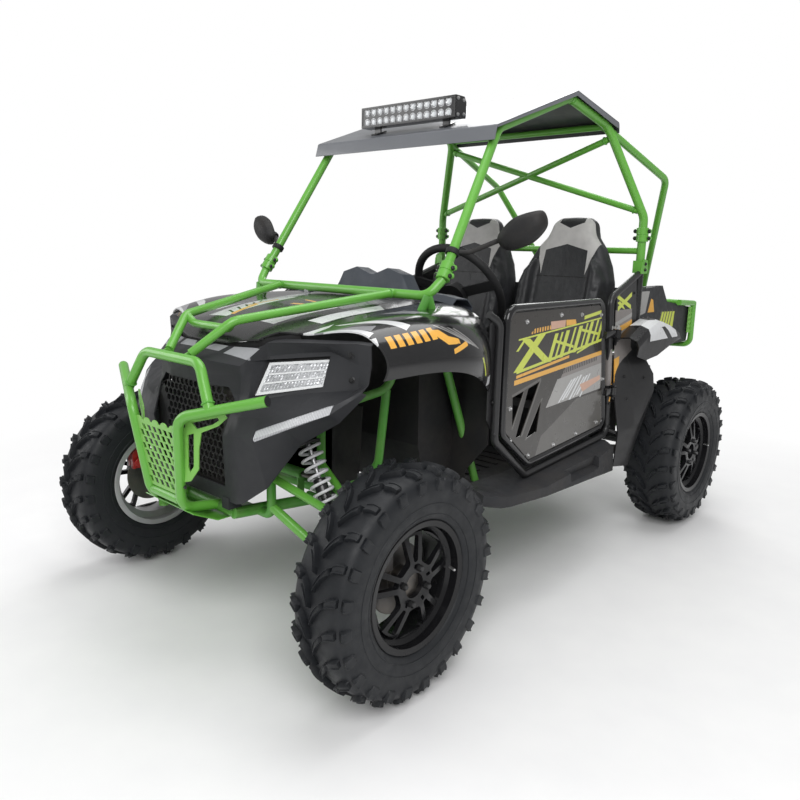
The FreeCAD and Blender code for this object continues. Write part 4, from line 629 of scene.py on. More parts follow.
def roofSheet():  # pale folded sheet over a dark lining that is painted shade for its underside, with narrow returns along both sides
    c = roof
    line = roundCorners([(0, *c[k]) for k in ("lip", "front", "ridge", "back", "tail")], 8)
    edge = roundCorners([(0, *c[k]) for k in ("front", "ridge", "back")], 8)
    drop = np.interp(edge[:, 1] * 1000, [-292, 150, 176, 476], [6, 8, 19, 19])[:, None] / 1000 * (0, 0, 1)
    outer, inner = edge + (c["half"] / 1000, 0, 0), edge + ((c["half"] - 2.4) / 1000, 0, 0)
    fold = strip(np.stack([outer, inner, inner - drop, outer - drop], 1))
    sheet, shadeLining = foldedSheet(line, 1.0, 2.3, c["half"]), foldedSheet(line, 0.0, 1.0, c["half"] - 0.4)
    return [(sheet, "roof"), (shadeLining, "roofPaintedShade"), (both(fold), "roof")]


piece("roofSheetFolded", roofSheet(), "chassis", nodeSlot["roof_panel"], ["roof_panel"], angle=30)

wheel = {"axle": 295, "lugs": 24, "bead": 152.4, "flange": 13, "spokes": 5, "beadWall": 5.4,  # pairs: x, y, width, rim
         "front": (585, -900, 170, 138), "rear": (597, 795, 200, 168)}


def smoothLine(points, count):  # Catmull-Rom curve through points, count stations evenly spaced along it
    p = np.array(points, float)
    q = np.vstack([2 * p[0] - p[1], p, 2 * p[-1] - p[-2]])
    t = np.linspace(0, 1, 25)[:-1, None, None]
    a, b, c, d = q[:-3], q[1:-2], q[2:-1], q[3:]
    curve = 0.5 * (2 * b + (c - a) * t + (2 * a - 5 * b + 4 * c - d) * t ** 2 + (3 * b - a - 3 * c + d) * t ** 3)
    curve = np.vstack([curve.transpose(1, 0, 2).reshape(-1, p.shape[1]), p[-1:]])
    run = np.concatenate([[0], np.cumsum(np.linalg.norm(np.diff(curve, axis=0), axis=1))])
    at = np.linspace(0, run[-1], count)
    return np.stack([np.interp(at, run, curve[:, k]) for k in range(p.shape[1])], 1)


def wrapWheel(x, r, turn, centre):  # (x, radius, angle) in mm to (x, r sin a, r cos a) about the axle, 0 at the top
    x, r, turn = np.broadcast_arrays(x, r, turn)
    return np.stack([centre[0] + x, centre[1] + r * np.sin(turn), centre[2] + r * np.cos(turn)], -1) / 1000


def spun(x, r, centre, steps):  # a closed section turned round the axle
    turns = np.arange(steps) * 2 * pi / steps
    return wrapWheel(x, r, turns[:, None], centre).reshape(-1, 3), gridFaces(steps, len(x), True, True).tolist()


def carcassLine(width, rimWidth):  # half the outer section, from the crown's middle to the bead
    h, b = width / 2 - 3, rimWidth / 2 - wheel["beadWall"]
    return [(0, 281), (0.4 * h, 280), (0.72 * h, 275), (0.9 * h, 264), (0.985 * h, 246), (h, 224), (0.985 * h, 200),
            (0.93 * h, 181), (b + 6, 168.5), (b + 0.5, 165.6), (b, 160), (b, 152.9)]


def tyreShape(width, rimWidth, centre):  # section spun round the axle; a lug lies at (x - tr h, r + tx h), h proud
    half = smoothLine(carcassLine(width, rimWidth), 56)
    w, b, treadRadius, steps = width / 2, rimWidth / 2 - wheel["beadWall"], 285, 120
    outer = np.vstack([half[::-1] * (-1, 1), half[1:]])
    inner = [(b - 12, 152.9), (w - 22, 195), (w - 24, 250), (0, 266), (24 - w, 250), (22 - w, 195), (12 - b, 152.9)]
    section = np.vstack([outer, inner])
    rubber = [spun(section[:, 0], section[:, 1], centre, steps)]
    run = np.concatenate([[0], np.cumsum(np.linalg.norm(np.diff(half, axis=0), axis=1))])
    slope = unit(np.gradient(half, axis=0))

    def lift(s, h):  # a point s mm along the outer section, h mm proud of it
        s = np.clip(s, -run[-1], run[-1])
        x, r, tx, tr = (np.interp(np.abs(s), run, k) for k in (*half.T, *slope.T))
        return np.sign(s + 1e-9) * (x - tr * h), r + tx * h

    bar = np.array([(-1.25, -0.1), (-1.0, 0.88), (-0.92, 1.0), (-0.72, 1.0), (-0.6, 0.8),
                    (0.6, 0.8), (0.72, 1.0), (0.92, 1.0), (1.0, 0.88), (1.25, -0.1)])
    m, c = 9, len(bar)
    caps = [list(range(c)), list(range(m * c - 1, (m - 1) * c - 1, -1))]
    lugFaces = gridFaces(m, c, False, True).tolist() + caps

    def lugs(line, phase, side):  # bars with that section along a line of (s / w, turn, half width, depth)
        k = np.arange(wheel["lugs"])[:, None, None] * 2 * pi / wheel["lugs"] + phase
        s, turn, broad, deep = smoothLine(np.array(line) * (w, 1, 1, 1), m).T[:, :, None]
        h = bar[:, 1] * deep
        h[0], h[-1] = np.minimum(h[0], 0) - 1.5, np.minimum(h[-1], 0) - 1.5
        x, r = lift(side * s + 0 * h, h)
        x = np.clip(x, 0.3 - w, w - 0.3)
        v = wrapWheel(x[None], r[None], (turn + bar[:, 0] * broad)[None] / treadRadius + k, centre)
        return v.reshape(-1, 3), [[i + j * m * c for i in f] for j in range(wheel["lugs"]) for f in lugFaces]

    chevrons = [[(0.03, -4, 6, 13.6), (0.15, 20, 8, 13.8), (0.29, 38, 8.5, 13.8), (0.42, 49, 8.5, 13.6)],
                [(0.45, 51, 8.5, 13.6), (0.58, 58, 9, 13.2), (0.70, 61, 9, 12.6), (0.82, 61, 9, 12)],
                [(0.88, 58, 12, 12), (0.99, 56, 13, 11), (1.11, 55, 13, 9), (1.25, 55, 12.5, 6)]]
    for side, phase in ((1, 0.0), (-1, pi / wheel["lugs"])):
        rubber += [lugs(line, phase, side) for line in chevrons]
    for s in (run[-1] - 62, run[-1] - 34):  # two raised rings on each wall
        x, r = lift(s + np.array([-2, -1, 1, 2]), np.array([-0.5, 1.2, 1.2, -0.5]))
        rubber += [spun(x, r, centre, steps), spun(-x, r, centre, steps)]
    return join(rubber)


def polar(r, a):
    return (r * math.sin(a), r * math.cos(a))


def rimWindow(inner, outer, halfIn, halfOut, a0):  # a window with rounded corners between two spokes; half widths in mm
    out = []
    p = np.array([(-halfIn, inner), (halfIn, inner), (halfOut, outer), (-halfOut, outer)], float)
    for a, b, c in zip(np.roll(p, 1, 0), p, np.roll(p, -1, 0)):
        back, on = np.linalg.norm(a - b), np.linalg.norm(c - b)
        cut = min(9.0, 0.4 * back, 0.4 * on)
        out += [b + (a - b) / back * cut * (1 - s) ** 2 + (c - b) / on * cut * s ** 2 for s in np.linspace(0, 1, 5)]
    c, s = math.cos(a0), math.sin(a0)
    return [(x * c + y * s, y * c - x * s) for x, y in out][::-1]


def rimShape(width, sideSign, centre):  # spun barrel, and a windowed face whose depth x(r) and thickness follow r
    w = wheel
    half, lip, seat, well = width / 2, w["bead"] + w["flange"], w["bead"], w["bead"] - 18
    web, n, faceX = w["bead"] - 22.5, w["spokes"], half - 26
    barrel = np.array([
        (half, lip - 2), (half - 1, lip), (half - 5, lip), (half - 5, 153), (half - 26, seat), (half - 40, well),
        (40 - half, well), (26 - half, seat), (5 - half, 153), (5 - half, lip), (1 - half, lip), (-half, lip - 2),
        (-half, 149), (24 - half, seat - 5), (38 - half, well - 5), (half - 38, well - 5), (half - 24, seat - 5),
        (half - 3, 149)])
    shell = spun(barrel[:, 0] * sideSign, barrel[:, 1], centre, 96)

    def circle(r, count):
        return [polar(r, a) for a in np.linspace(0, 2 * pi, count + 1)[:-1]]

    holes = [circle(31.2, 32)]
    for k in range(n):
        a = 2 * pi * k / n
        holes += [rimWindow(58, web - 5, 19, 49, a + pi / n), rimWindow(62, web - 6, 6, 18, a),
                  rimWindow(44, 56, 4.5, 4.5, a)]
    grid = [p for r in (37, 44, 60, 70, 85, 100, 115) for p in circle(r, 60)]
    flat, faces = cutFace(circle(web + 1, 96), holes, grid)
    r, turn = np.hypot(*flat.T), np.arctan2(*flat.T)
    depth = np.interp(r, [31, 40, 56, 70, 90, 115, web + 1], [7.5, 8, 10.8, 10.5, 7.5, 2.5, -1.5]) + faceX
    thick = np.interp(r, [31, 56, 90, web + 1], [13.5, 16.5, 13, 11])
    v = np.vstack([wrapWheel(x * sideSign, r, turn, centre) for x in (depth, depth - thick)])
    return shell, (v, backed(faces, len(flat)))


def wheelParts(place, sideSign, end):
    x, y, width, rimWidth = wheel[end]
    centre = (x * sideSign, y, wheel["axle"])
    body = "wheel_" + place
    rubber = [(tyreShape(width, rimWidth, centre), "tyre")]
    tyre = piece("tyreRubber_" + place, rubber, body, "tyre", ["tyre_" + place], bevel=1.5, angle=35)
    tyre.data.materials.append(paint["tyreEdgeHighlight"])
    lugHighlight = tyre.modifiers["softEdges"]  # painted highlight: paler bluish-grey rubber along every edge of the lugs
    lugHighlight.segments, lugHighlight.material = 1, 1
    shell, disc = rimShape(rimWidth, sideSign, centre)
    out, boltCircle = (sideSign, 0, 0), 44
    face = centre[0] + sideSign * (rimWidth / 2 - 18)
    circle = [polar(boltCircle, k * pi / 2 + 0.31) for k in range(4)]
    spots = [(face, centre[1] + y, centre[2] + z) for y, z in circle]
    nuts = join([turned([(0, 0), (8.5, 0), (8.5, 9), (6, 13), (0, 13)], s, out, 6) for s in spots])
    stem = (centre[0] + sideSign * (rimWidth / 2 - 12), centre[1] + 128, centre[2] + 8)
    valve = turned([(0, 0), (3.2, 0), (3.2, 22), (2.2, 23), (0, 23)], stem, (sideSign, -0.35, 0), 12)
    parts = [(shell, "silver" if place == "front_right" else "rimBlack"), (disc, "rimBlack"), (nuts, "boltDark"),
             (valve, "boltPale")]
    piece("rimCast_" + place, parts, body, "rim_paint", ["rim_" + place], bevel=0.9, angle=32)


def tyreFinish():  # blue-black rubber under a film of dust, paler patches, fine cast grain
    f = Finish("tyreRubber")
    dust = f.span(f.noise(14.0, 6.0, 0.7), 0.42, 0.74, 0.03, 0.3)
    base = f.mix(dust, (0.0085, 0.0100, 0.0125), (0.024, 0.0245, 0.026))
    base = f.mix(f.span(f.noise(160.0, 3.0), 0.55, 0.85, 0, 0.25), base, (0.036, 0.035, 0.035))
    rough = f.span(f.noise(40.0), 0.3, 0.7, 0.42, 0.62)
    return f.done(colour=base, rough=rough, gloss=0.38, normal=f.bump(f.noise(380.0, 4.0), 0.0004))


paint["tyre"] = tyreFinish()
for end in ("front", "rear"):
    wheelParts(end + "_left", 1, end)
    wheelParts(end + "_right", -1, end)
print("wheels built")

# noseReflectionGrey paints a reflection on the nose's top faces; the other inks are print
ink = {"lime": (0.60, 0.68, 0.095), "amber": (0.80, 0.42, 0.070), "grey": (0.235, 0.215, 0.205),
       "paleGrey": (0.36, 0.355, 0.345), "white": (0.70, 0.71, 0.72), "brown": (0.030, 0.026, 0.022),
       "pink": (0.62, 0.38, 0.28), "warmGrey": (0.105, 0.100, 0.092), "silver": (0.26, 0.265, 0.275),
       "black": (0.010, 0.010, 0.011), "noseReflectionGrey": (0.30, 0.305, 0.32)}


def printed(name, base, rough, coats, coat=0.5, gloss=0.5, skin=None):  # inks that wear a little, on |x| > skin only
    f = Finish(name)
    x, y, z = f.xyz()
    colour = base
    for mask, key in coats(x, y, z):  # each ink is laid over the last
        colour = f.mix(mask, colour, ink[key])
    if skin:
        colour = f.mix(abs(x) > skin, base, colour)
    colour = f.mix(f.span(f.noise(70.0, 6.0, 0.7), 0.3, 0.75, 0.0, 0.10), colour, (0.05, 0.05, 0.05))
    rough = f.span(f.noise(35.0), 0.3, 0.7, rough * 0.85, rough * 1.2)
    return f.done(colour=colour, rough=rough, coat=coat, coatRough=0.08, gloss=gloss,
                  normal=f.bump(f.noise(520.0, 2.0), 0.00006))


def doorInks(x, y, z):  # slashes in a lime band, two amber stripes, a grey band with pale strokes
    yz = y, z
    ticks = patch(yz, (-298, 832), (-297, 848), (-215, 852), (-190, 868), (-129, 870), (-118, 844))
    slashes = [(a, 742 + b, a + 38, 828 + b, w) for a, b, w in (
        (-118, 0, 19), (-82, 2, 11), (-46, 5, 21), (2, 12, 11), (40, 14, 21), (84, 20, 10), (118, 24, 19),
        (160, 28, 12), (196, 32, 17))]
    lime = bars(yz, (-300, 727, -170, 832, 27), (-262, 824, -126, 740, 24), (-306, 790, -262, 827, 9), *slashes,
                (-98, 806, 34, 776, 9), (84, 828, 206, 806, 9), (-302, 824, 240, 862, 5), (-304, 726, 244, 784, 9),
                (96, 868, 236, 884, 12), (60, 752, 170, 776, 6))
    strokes = bars(yz, *[(-40 + 24 * i, 596 + 5 * (i % 3), 40 + 21 * i, 664 + 3 * (i % 4), 7 + 3 * (i % 2))
                         for i in range(7)])
    dots = patch(yz, (-52, 704), (-50, 688), (210, 712), (206, 728))
    lowField = patch(yz, (-330, 420), (300, 420), (270, 598), (-100, 588), (-140, 500))
    edging = bars(yz, (-256, 668, -312, 552, 7), (-162, 686, -256, 520, 8), (-146, 626, -232, 504, 7),
                  (-322, 656, -160, 690, 8))
    band = patch(yz, (-316, 690), (256, 730), (256, 600), (-30, 590), (-100, 596), (-60, 648), (-312, 660))
    return [(band, "grey"),
            (patch(yz, (-120, 590), (-58, 676), (250, 700), (250, 606)), "paleGrey"), (strokes, "white"),
            (patch(yz, (96, 640), (120, 612), (246, 640), (240, 656)), "pink"),
            (dots * (y.wrap(0.006) < 0.0032), "brown"),
            (bars(yz, (-304, 712, 10, 745, 9), (-314, 695, 254, 738, 15)), "amber"),
            (ticks * ((y + 0.003).wrap(0.0075) < 0.0042), "amber"),
            (patch(yz, (-122, 868), (-118, 842), (-30, 846), (-28, 868)), "pink"),
            (patch(yz, (-26, 868), (-22, 848), (44, 850), (36, 866)), "amber"), (lime, "lime"),
            (lowField.orWith(edging), "warmGrey")]


def quarterInks(x, y, z):  # behind the door: a lime cross, grey field, amber stripes
    yz = y, z
    flat = abs(x) < 0.5165
    cross = patch(yz, (350, 906), (400, 884), (420, 880), (392, 900), (372, 912))
    return [(patch(yz, (310, 880), (480, 880), (470, 700), (300, 600)) * flat, "grey"),
            (bars(yz, (300, 820, 480, 858, 14)), "paleGrey"), (bars(yz, (296, 796, 480, 830, 20)), "amber"),
            (patch(yz, (322, 700), (380, 712), (340, 590), (322, 540)) * flat, "amber"),
            (cross.orWith(bars(yz, (350, 930, 470, 886, 15), (356, 884, 478, 934, 15))), "lime"),
            (patch(yz, (300, 784), (360, 800), (356, 756), (300, 740)), "black")]


def bedInks(x, y, z):  # bed sides: pale and amber wedges ahead, a lime field with dark slashes behind
    yz = y, z
    strokes = [(650 + 16 * i, 790 + 4 * (i % 2), 676 + 15 * i, 834 - 5 * (i % 3), 5) for i in range(5)]
    slashes = [(828 + 30 * i, 780, 858 + 28 * i, 850, 8) for i in range(5)]
    inks = [(patch(yz, (640, 936), (716, 936), (690, 850), (630, 840)), "paleGrey"),
            (patch(yz, (736, 905), (756, 900), (776, 850), (712, 850)), "amber"), (bars(yz, *strokes), "grey"),
            (patch(yz, (836, 796), (850, 846), (994, 842), (986, 776)), "lime"),
            (bars(yz, *slashes), "warmGrey")]
    return [(mask * (abs(x) > 0.4605), key) for mask, key in inks]


def hoodInks(x, y, z):  # pale fields with amber and lime strokes either side of the dark channel
    s = abs(x)
    sy = s, y
    pale = patches(sy, [(60, -930), (150, -930), (172, -720), (70, -660)],
                       [(206, -860), (250, -850), (258, -620), (222, -600)])
    amber = bars((x, y), (-60, -912, -90, -800, 18), (-110, -820, -96, -716, 12), (20, -760, 112, -742, 14),
                 (10, -700, 90, -712, 9))
    dark = bars(sy, *[(70 + 14 * i, -900 + 34 * i, 120 + 8 * i, -880 + 36 * i, 7) for i in range(5)])
    return [(patch(sy, (80, -700), (190, -720), (206, -560), (90, -540)), "silver"), (pale, "white"),
            (dark, "black"), (amber, "amber"), (bars((x, y), (40, -900, 108, -884, 8)), "lime"),
            (bars(sy, *[(96 + 15 * i, -690, 120 + 12 * i, -590, 5) for i in range(5)]), "white")]


def fenderInks(x, y, z):  # white fields on the top, amber blocks along the top edge of the side
    s = abs(x)
    yz, sy = (y, z), (s, y)
    top, front, blockSide, wall = z > 0.862, s > 0.436, s > 0.44, s > 0.45
    white = patches(sy, [(270, -950), (300, -960), (300, -870), (286, -840)],
                        [(300, -940), (340, -930), (446, -885), (440, -850), (330, -900)],
                        [(300, -850), (318, -850), (478, -772), (470, -748), (380, -790)])
    feather = bars(sy, *[(318 + 16 * i, -690 + 4 * i, 340 + 18 * i, -620 - 3 * i, 9) for i in range(6)])
    blocks = (y.wrap(0.0115) < 0.0078) * patch(yz, (-842, 868), (-838, 842), (-700, 862), (-704, 888))
    splash = bars(yz, (-706, 882, -664, 846, 22), (-678, 862, -640, 852, 12), (-668, 828, -612, 846, 12))
    lines = bars(yz, *[(-690 + 18 * i, 892 - 3 * i, -600 + 12 * i, 842 - 5 * i, 2.4) for i in range(4)])
    return [(patch(sy, (300, -920), (322, -930), (430, -850), (420, -820)) * top, "silver"), (white * top, "white"),
            (feather * top, "white"),
            (patch(yz, (-905, 856), (-856, 868), (-872, 806), (-905, 800)) * front, "white"),
            (blocks * blockSide, "amber"), (splash * wall, "amber"), (lines * wall, "paleGrey"),
            (bars(yz, (-540, 800, -504, 744, 8)) * wall, "lime"),
            (patch(yz, (-482, 736), (-456, 740), (-454, 712), (-478, 710)) * wall, "white")]


def noseReflectionPatches(x, y, z):  # painted reflection: two pale patches on the nose's top slope with a dark bar between, both sides alike
    masks = patches((abs(x), y), [(18, -1064), (92, -1062), (98, -1036), (44, -1038)],
                                [(112, -1062), (196, -1046), (196, -1010), (118, -1032)])
    return [(masks * (z > 0.800) * (y > -1.09), "noseReflectionGrey")]


def rearFenderInks(x, y, z):  # white top with one black mark over a black face
    yz = y, z
    top = z > 0.768
    return [(patch(yz, (452, 700), (700, 700), (700, 840), (440, 840)) * top, "white"),
            (bars(yz, (560, 815, 640, 762, 22)) * top, "black")]


paint["doorPrint"] = printed("doorFilm", ink["brown"], 0.30, doorInks, skin=0.5068)
paint["quarterPrint"] = printed("quarterFilm", (0.012, 0.012, 0.013), 0.42, quarterInks, 0.2)
paint["bedPrint"] = printed("bedFilm", (0.026, 0.027, 0.030), 0.5, bedInks, 0.05, 0.32)
paint["hoodPrint"] = printed("hoodFilm", (0.012, 0.012, 0.013), 0.28, hoodInks, 0.4)
paint["fenderPrint"] = printed("fenderFilm", (0.007, 0.0072, 0.008), 0.18, fenderInks, 0.6, 0.4)
# the nose film holds only painted reflection patches
paint["noseWithPaintedReflection"] = printed("noseReflectionFilm", (0.026, 0.027, 0.030), 0.52, noseReflectionPatches, 0.0, 0.32)
paint["rearFenderPrint"] = printed("rearFenderFilm", (0.007, 0.007, 0.008), 0.30, rearFenderInks, 0.15, 0.3)


def lampGlassFinish():  # silver reflector under clear glass with bumped cells; its colour a light and dark mottle that paints the reflector's reflections, with a faint bluish-white glow as painted light
    f = Finish("lampGlassPaintedReflection")
    cells = f.add("ShaderNodeTexVoronoi", {"feature": "F1"}, {"Vector": f.place, "Scale": 95.0}, out=1)
    reflectionMottle = f.span(f.noise(140.0, 3.0, 0.7), 0.35, 0.65)
    grey = f.mix(reflectionMottle, (0.22, 0.23, 0.24), (0.82, 0.83, 0.85))
    return f.done(colour=grey, rough=0.16, metal=0.35, coat=1.0, glow=(0.9, 0.95, 1.0), glowPower=0.05,
                  normal=f.bump(cells, 0.0015))


def stripGlassFinish():  # milky strip with fine upright ribs; each rib's colour runs dark to pale with its height, painted shade and highlight
    f = Finish("stripGlassPaintedShading")
    x, y = f.xyz()[:2]
    ribRamp = (x + y * 0.5).wrap(0.0022) / 0.0022
    colour = f.mix(ribRamp, (0.34, 0.345, 0.36), (0.60, 0.61, 0.63))
    return f.done(colour=colour, rough=0.22, coat=0.8, normal=f.bump(ribRamp, 0.0006))


paint["lampGlassPaintedReflection"] = lampGlassFinish()
paint["stripGlassPaintedShading"] = stripGlassFinish()

lamp = {"corners": [(203, 790), (347, 807), (350, 740), (201, 708)], "place": (197, -985, 797), "rake": (0.567, 0.557),
        "opening": [(196, 799), (352, 817), (355, 736), (197, 702)], "stretch": 1.276, "facets": 18}


def onLamp(x, z, out):  # a point of the plane y = y0 + a (x - x0) + b (z - z0), moved out square to it
    (x0, y0, z0), (a, b) = lamp["place"], lamp["rake"]
    return np.array([x, y0 + a * (x - x0) + b * (z - z0), z]) + np.array([a, -1, b]) / lamp["stretch"] * out


def lampPlate(outline, holes, thickness, out):  # a plate that lies on the lens plane
    a, b = lamp["rake"]
    return holedPlate(outline[::-1], holes, thickness / lamp["stretch"], onLamp(0, 0, out), (1, a, 0), (0, b, 1))


def insetLoop(loop, d):  # corners of a convex loop moved inwards by d
    p = np.array(loop, float)
    out = []
    for a, b, e in zip(np.roll(p, 1, 0), p, np.roll(p, -1, 0)):
        u, v = unit(a - b), unit(e - b)
        out.append(b + (u + v) * d / abs(u[0] * v[1] - u[1] * v[0]))
    return out


def headlamp():  # bezel, two light bars, and six rows of small reflector facets; peaks drawn at random, in order
    rim = lamp["corners"]
    bezel = lampPlate(insetLoop(rim, 1.0), [insetLoop(rim, 7.5)], 3.2, 1.6)
    gasket = lampPlate(lamp["opening"], [insetLoop(rim, 1.6)], 2.4, 1.0)
    a, b, c, d = (np.array(q, float) for q in insetLoop(rim, 9.5))

    def at(s, t):  # s along, t down, both 0..1
        top, low = a + (b - a) * s, d + (c - d) * s
        return top + (low - top) * t

    bars = [lampPlate([at(0.01, t0), at(0.99, t0), at(0.99, t1), at(0.01, t1)], [], 2.6, 2.2)
            for t0, t1 in ((0.30, 0.37), (0.66, 0.73))]
    facets, count = [], lamp["facets"]
    chance = np.random.default_rng(7)
    for t0, t1 in ((0.02, 0.15), (0.16, 0.29), (0.38, 0.51), (0.52, 0.65), (0.74, 0.86), (0.87, 0.98)):
        for k in range(count):
            s0, s1 = k / count, (k + 0.94) / count
            foot = [onLamp(*at(s, t), 0.15) for s, t in ((s0, t0), (s1, t0), (s1, t1), (s0, t1))]
            peak = at(s0 + (s1 - s0) * chance.uniform(0.25, 0.75), t0 + (t1 - t0) * chance.uniform(0.25, 0.75))
            v = np.array(foot + [onLamp(*peak, chance.uniform(0.8, 2.4))]) / 1000
            facets.append((v, [[0, 1, 4], [1, 2, 4], [2, 3, 4], [3, 0, 4], [3, 2, 1, 0]]))
    return [(both(join([bezel] + bars)), "bezel"), (both(gasket), "mouldingDark"), (both(join(facets)), "facet")]


piece("headlampCells", headlamp(), "chassis", nodeSlot["headlights"])


def lightBarFront():  # two rows of small lamps behind a frame, and bolted end caps
    cup = [(12.4, -1), (13.2, 0.6), (12.2, 1.0), (9.4, -0.4), (9.0, -1)]
    led = [(0, 1.2), (4, 1.1), (7.4, 0.7), (9.3, -0.2), (9.3, -1), (0, -1)]
    spots = [((k - 6) * 29.5, -258, z) for z in (1500.5, 1532.5) for k in range(13)]
    cups = join([turned(cup, spot, (0, -1, 0), 24) for spot in spots])
    leds = join([turned(led, spot, (0, -1, 0), 20) for spot in spots])
    loop = [(-204, 1486), (204, 1486), (204, 1547), (-204, 1547)]
    frontFrame = holedPlate(loop, [insetLoop(loop, 5)], 2.2, (0, -259.4, 0), (1, 0, 0), (0, 0, 1))
    cap = prism([(-257, 1485), (-208, 1485), (-206, 1500), (-206, 1534), (-216, 1549), (-257, 1549)], "X", 203.5, 206.5)
    capSpots = ((-248, 1493), (-248, 1541), (-218, 1497), (-220, 1538))
    capBolts = join([bolt((206.5, y, z), (1, 0, 0), 5) for y, z in capSpots])
    return [(leds, "ledGlass"), (cups, "chrome"), (join([frontFrame, both(cap)]), "blackSatin"),
            (both(capBolts), "boltPale")]


piece("lightBarLamps", lightBarFront(), "chassis", nodeSlot["light_bar"])


def damper(low, high):  # body, rod, spring seats, a real coil and the two eyes
    low, high = np.array(low, float), np.array(high, float)
    length = np.linalg.norm(high - low)
    axis, u, w = frameOf(high - low)
    turns, steps = 8, 26
    t = np.linspace(0, 1, turns * steps + 1)[:, None]
    radius = 28.5 - 2.0 * np.sin(pi * t) ** 8
    circle = np.cos(2 * pi * turns * t) * u + np.sin(2 * pi * turns * t) * w
    coil = carry((low + axis * length * (0.155 + 0.70 * t) + radius * circle) / 1000, ring(8.6, 12))
    body = [(0, 10), (16.5, 10), (18, 13), (18, 0.50 * length), (16, 0.52 * length), (9, 0.53 * length),
            (0, 0.53 * length)]
    rod = [(0, 0.5 * length), (6.5, 0.5 * length), (6.5, length - 8), (0, length - 8)]
    collar = [(18, 0.145 * length), (23, 0.145 * length), (23, 0.145 * length + 12), (18, 0.145 * length + 12)]
    seats = [turned([(12, h), (32, h), (33.5, h + 2), (33.5, h + 6), (31, h + 8), (12, h + 8)], low, axis, 40)
             for h in (0.125 * length, 0.865 * length)]
    eye = [(6, -13), (13, -13), (14, -12), (14, 12), (13, 13), (6, 13)]
    eyes = [turned(eye, p, (0, 1, 0), 28) for p in (low, high)]
    pins = [turned([(0, -17), (6, -17), (6, 17), (0, 17)], p, (0, 1, 0), 16) for p in (low, high)]
    return [(coil, "springWhite"), (join([turned(body, low, axis, 32), turned(collar, low, axis, 8)]), "blackSatin"),
            (turned(rod, low, axis, 20), "steel"), (join(seats + eyes), "boltDark"), (join(pins), "boltPale")]


dampers = damper((360, -900, 352), (236, -900, 600)) + damper((404, 887, 352), (372, 915, 634))
piece("coilDampers", dampers + mirrorParts(dampers), "chassis", nodeSlot["shocks"], ["shocks"], angle=40)


def caliper():  # red casting with two pistons over the disc, and its brake hose banjo
    x = 569.0
    inner = [(-980, 333), (-936, 333), (-934, 350), (-936, 391), (-950, 398), (-972, 398), (-982, 386)]
    outer = [(-978, 336), (-938, 336), (-936, 388), (-950, 394), (-972, 394), (-979, 384)]
    shell = [prism(inner, "X", x - 20, x - 3), prism(outer, "X", x + 7, x + 20)]
    piston = [(0, 0), (13, 0), (14, 1.5), (14, 9), (12, 12), (0, 12)]
    pistons = [turned(piston, (x - 20, y, z), (-1, 0, 0), 24) for y, z in ((-966, 356), (-950, 378))]
    banjo = turned([(0, 0), (6, 0), (6, 8), (0, 8)], (x - 20, -942, 388), (-1, 0, 0), 6)
    return [(join(shell + pistons), "red"), (banjo, "boltPale")]


for tag, parts in (("left", caliper()), ("right", mirrorParts(caliper()))):
    piece("brakeCaliper_" + tag, parts, nodeBody["knuckle_" + tag], nodeSlot["knuckle_" + tag], bevel=1.5, angle=35)


def doorBolts():  # pale button heads round the door skin
    spots = [(-262, 876), (-60, 886), (75, 880), (214, 872), (262, 640), (-330, 620), (-322, 520), (-214, 452),
             (-60, 458), (90, 468), (240, 484)]
    return [(join([bolt((508.2, y, z), (1, 0, 0), 6.5) for y, z in spots]), "boltPale")]


for tag, parts in (("left", doorBolts()), ("right", mirrorParts(doorBolts()))):
    piece("doorBolts_" + tag, parts, nodeBody["door_panel_" + tag], nodeSlot["door_panel_" + tag])


def closedSmooth(points, count):  # Catmull-Rom loop through points, evenly spaced
    p = np.array(points, float)
    line = smoothLine(np.vstack([p[-2:], p, p[:3]]), 400)
    start = np.argmin(np.linalg.norm(line[:150] - p[0], axis=1))
    end = 200 + np.argmin(np.linalg.norm(line[200:] - p[0], axis=1))
    return smoothLine(line[start:end + 1:4], count + 1)[:-1]


def mirrorHead():  # leaf-shaped shell with a rim, the glass inside it, a ball boot and a bent arm
    leaf = [(493, 1112), (507, 1142), (542, 1173), (598, 1190), (622, 1186), (631, 1150), (600, 1110), (558, 1090),
            (518, 1085)]
    loop = closedSmooth(leaf, 60)
    c = np.array([572.0, 1142.0])
    turn = math.radians(16)

    def shell(steps):  # (y offset, scale) rings, scaled about c and turned about the upright through it
        rows = []
        for dy, scale in steps:
            q = (loop - c) * scale
            x, y = q[:, 0] * math.cos(turn) - dy * math.sin(turn), q[:, 0] * math.sin(turn) + dy * math.cos(turn)
            rows.append(np.stack([c[0] + x, -402 + y, c[1] + q[:, 1]], 1))
        return np.concatenate(rows) / 1000, gridFaces(len(steps), len(loop), False, True).tolist()

    case = shell([(-31, 0.001), (-31, 0.3), (-28, 0.58), (-21, 0.80), (-11, 0.93), (0, 0.99), (9, 1.0), (13, 0.985),
                  (14, 0.955), (13, 0.93), (8, 0.92), (8, 0.001)])
    glass = shell([(8.6, 0.001), (8.6, 0.91), (9.4, 0.905), (9.6, 0.88), (9.6, 0.001)])
    foot = (388.7, -483, 1074.8)
    arm = tube([foot, (430, -458, 1076), (488, -412, 1108), (512, -402, 1118)], 14, 30)
    bellows = [(0, 0), (13, 0), (15, 5), (12, 9), (14, 13), (10, 17), (12, 21), (8, 26), (0, 26)]
    boot = turned(bellows, (500, -406, 1112), (0.75, 0.2, 0.45), 24)
    collar = turned([(14.3, -8), (19, -8), (20, -6), (20, 6), (19, 8), (14.3, 8)], foot, (-37, 288, 440), 28)
    return [(join([case, arm]), "mouldingDark"), (join([boot, collar]), "rubber"), (glass, "chrome")]


side = mirrorHead()
piece("mirrorHeads", side + mirrorParts(side), "chassis", nodeSlot["mirrors"], ["mirrors"], angle=40)


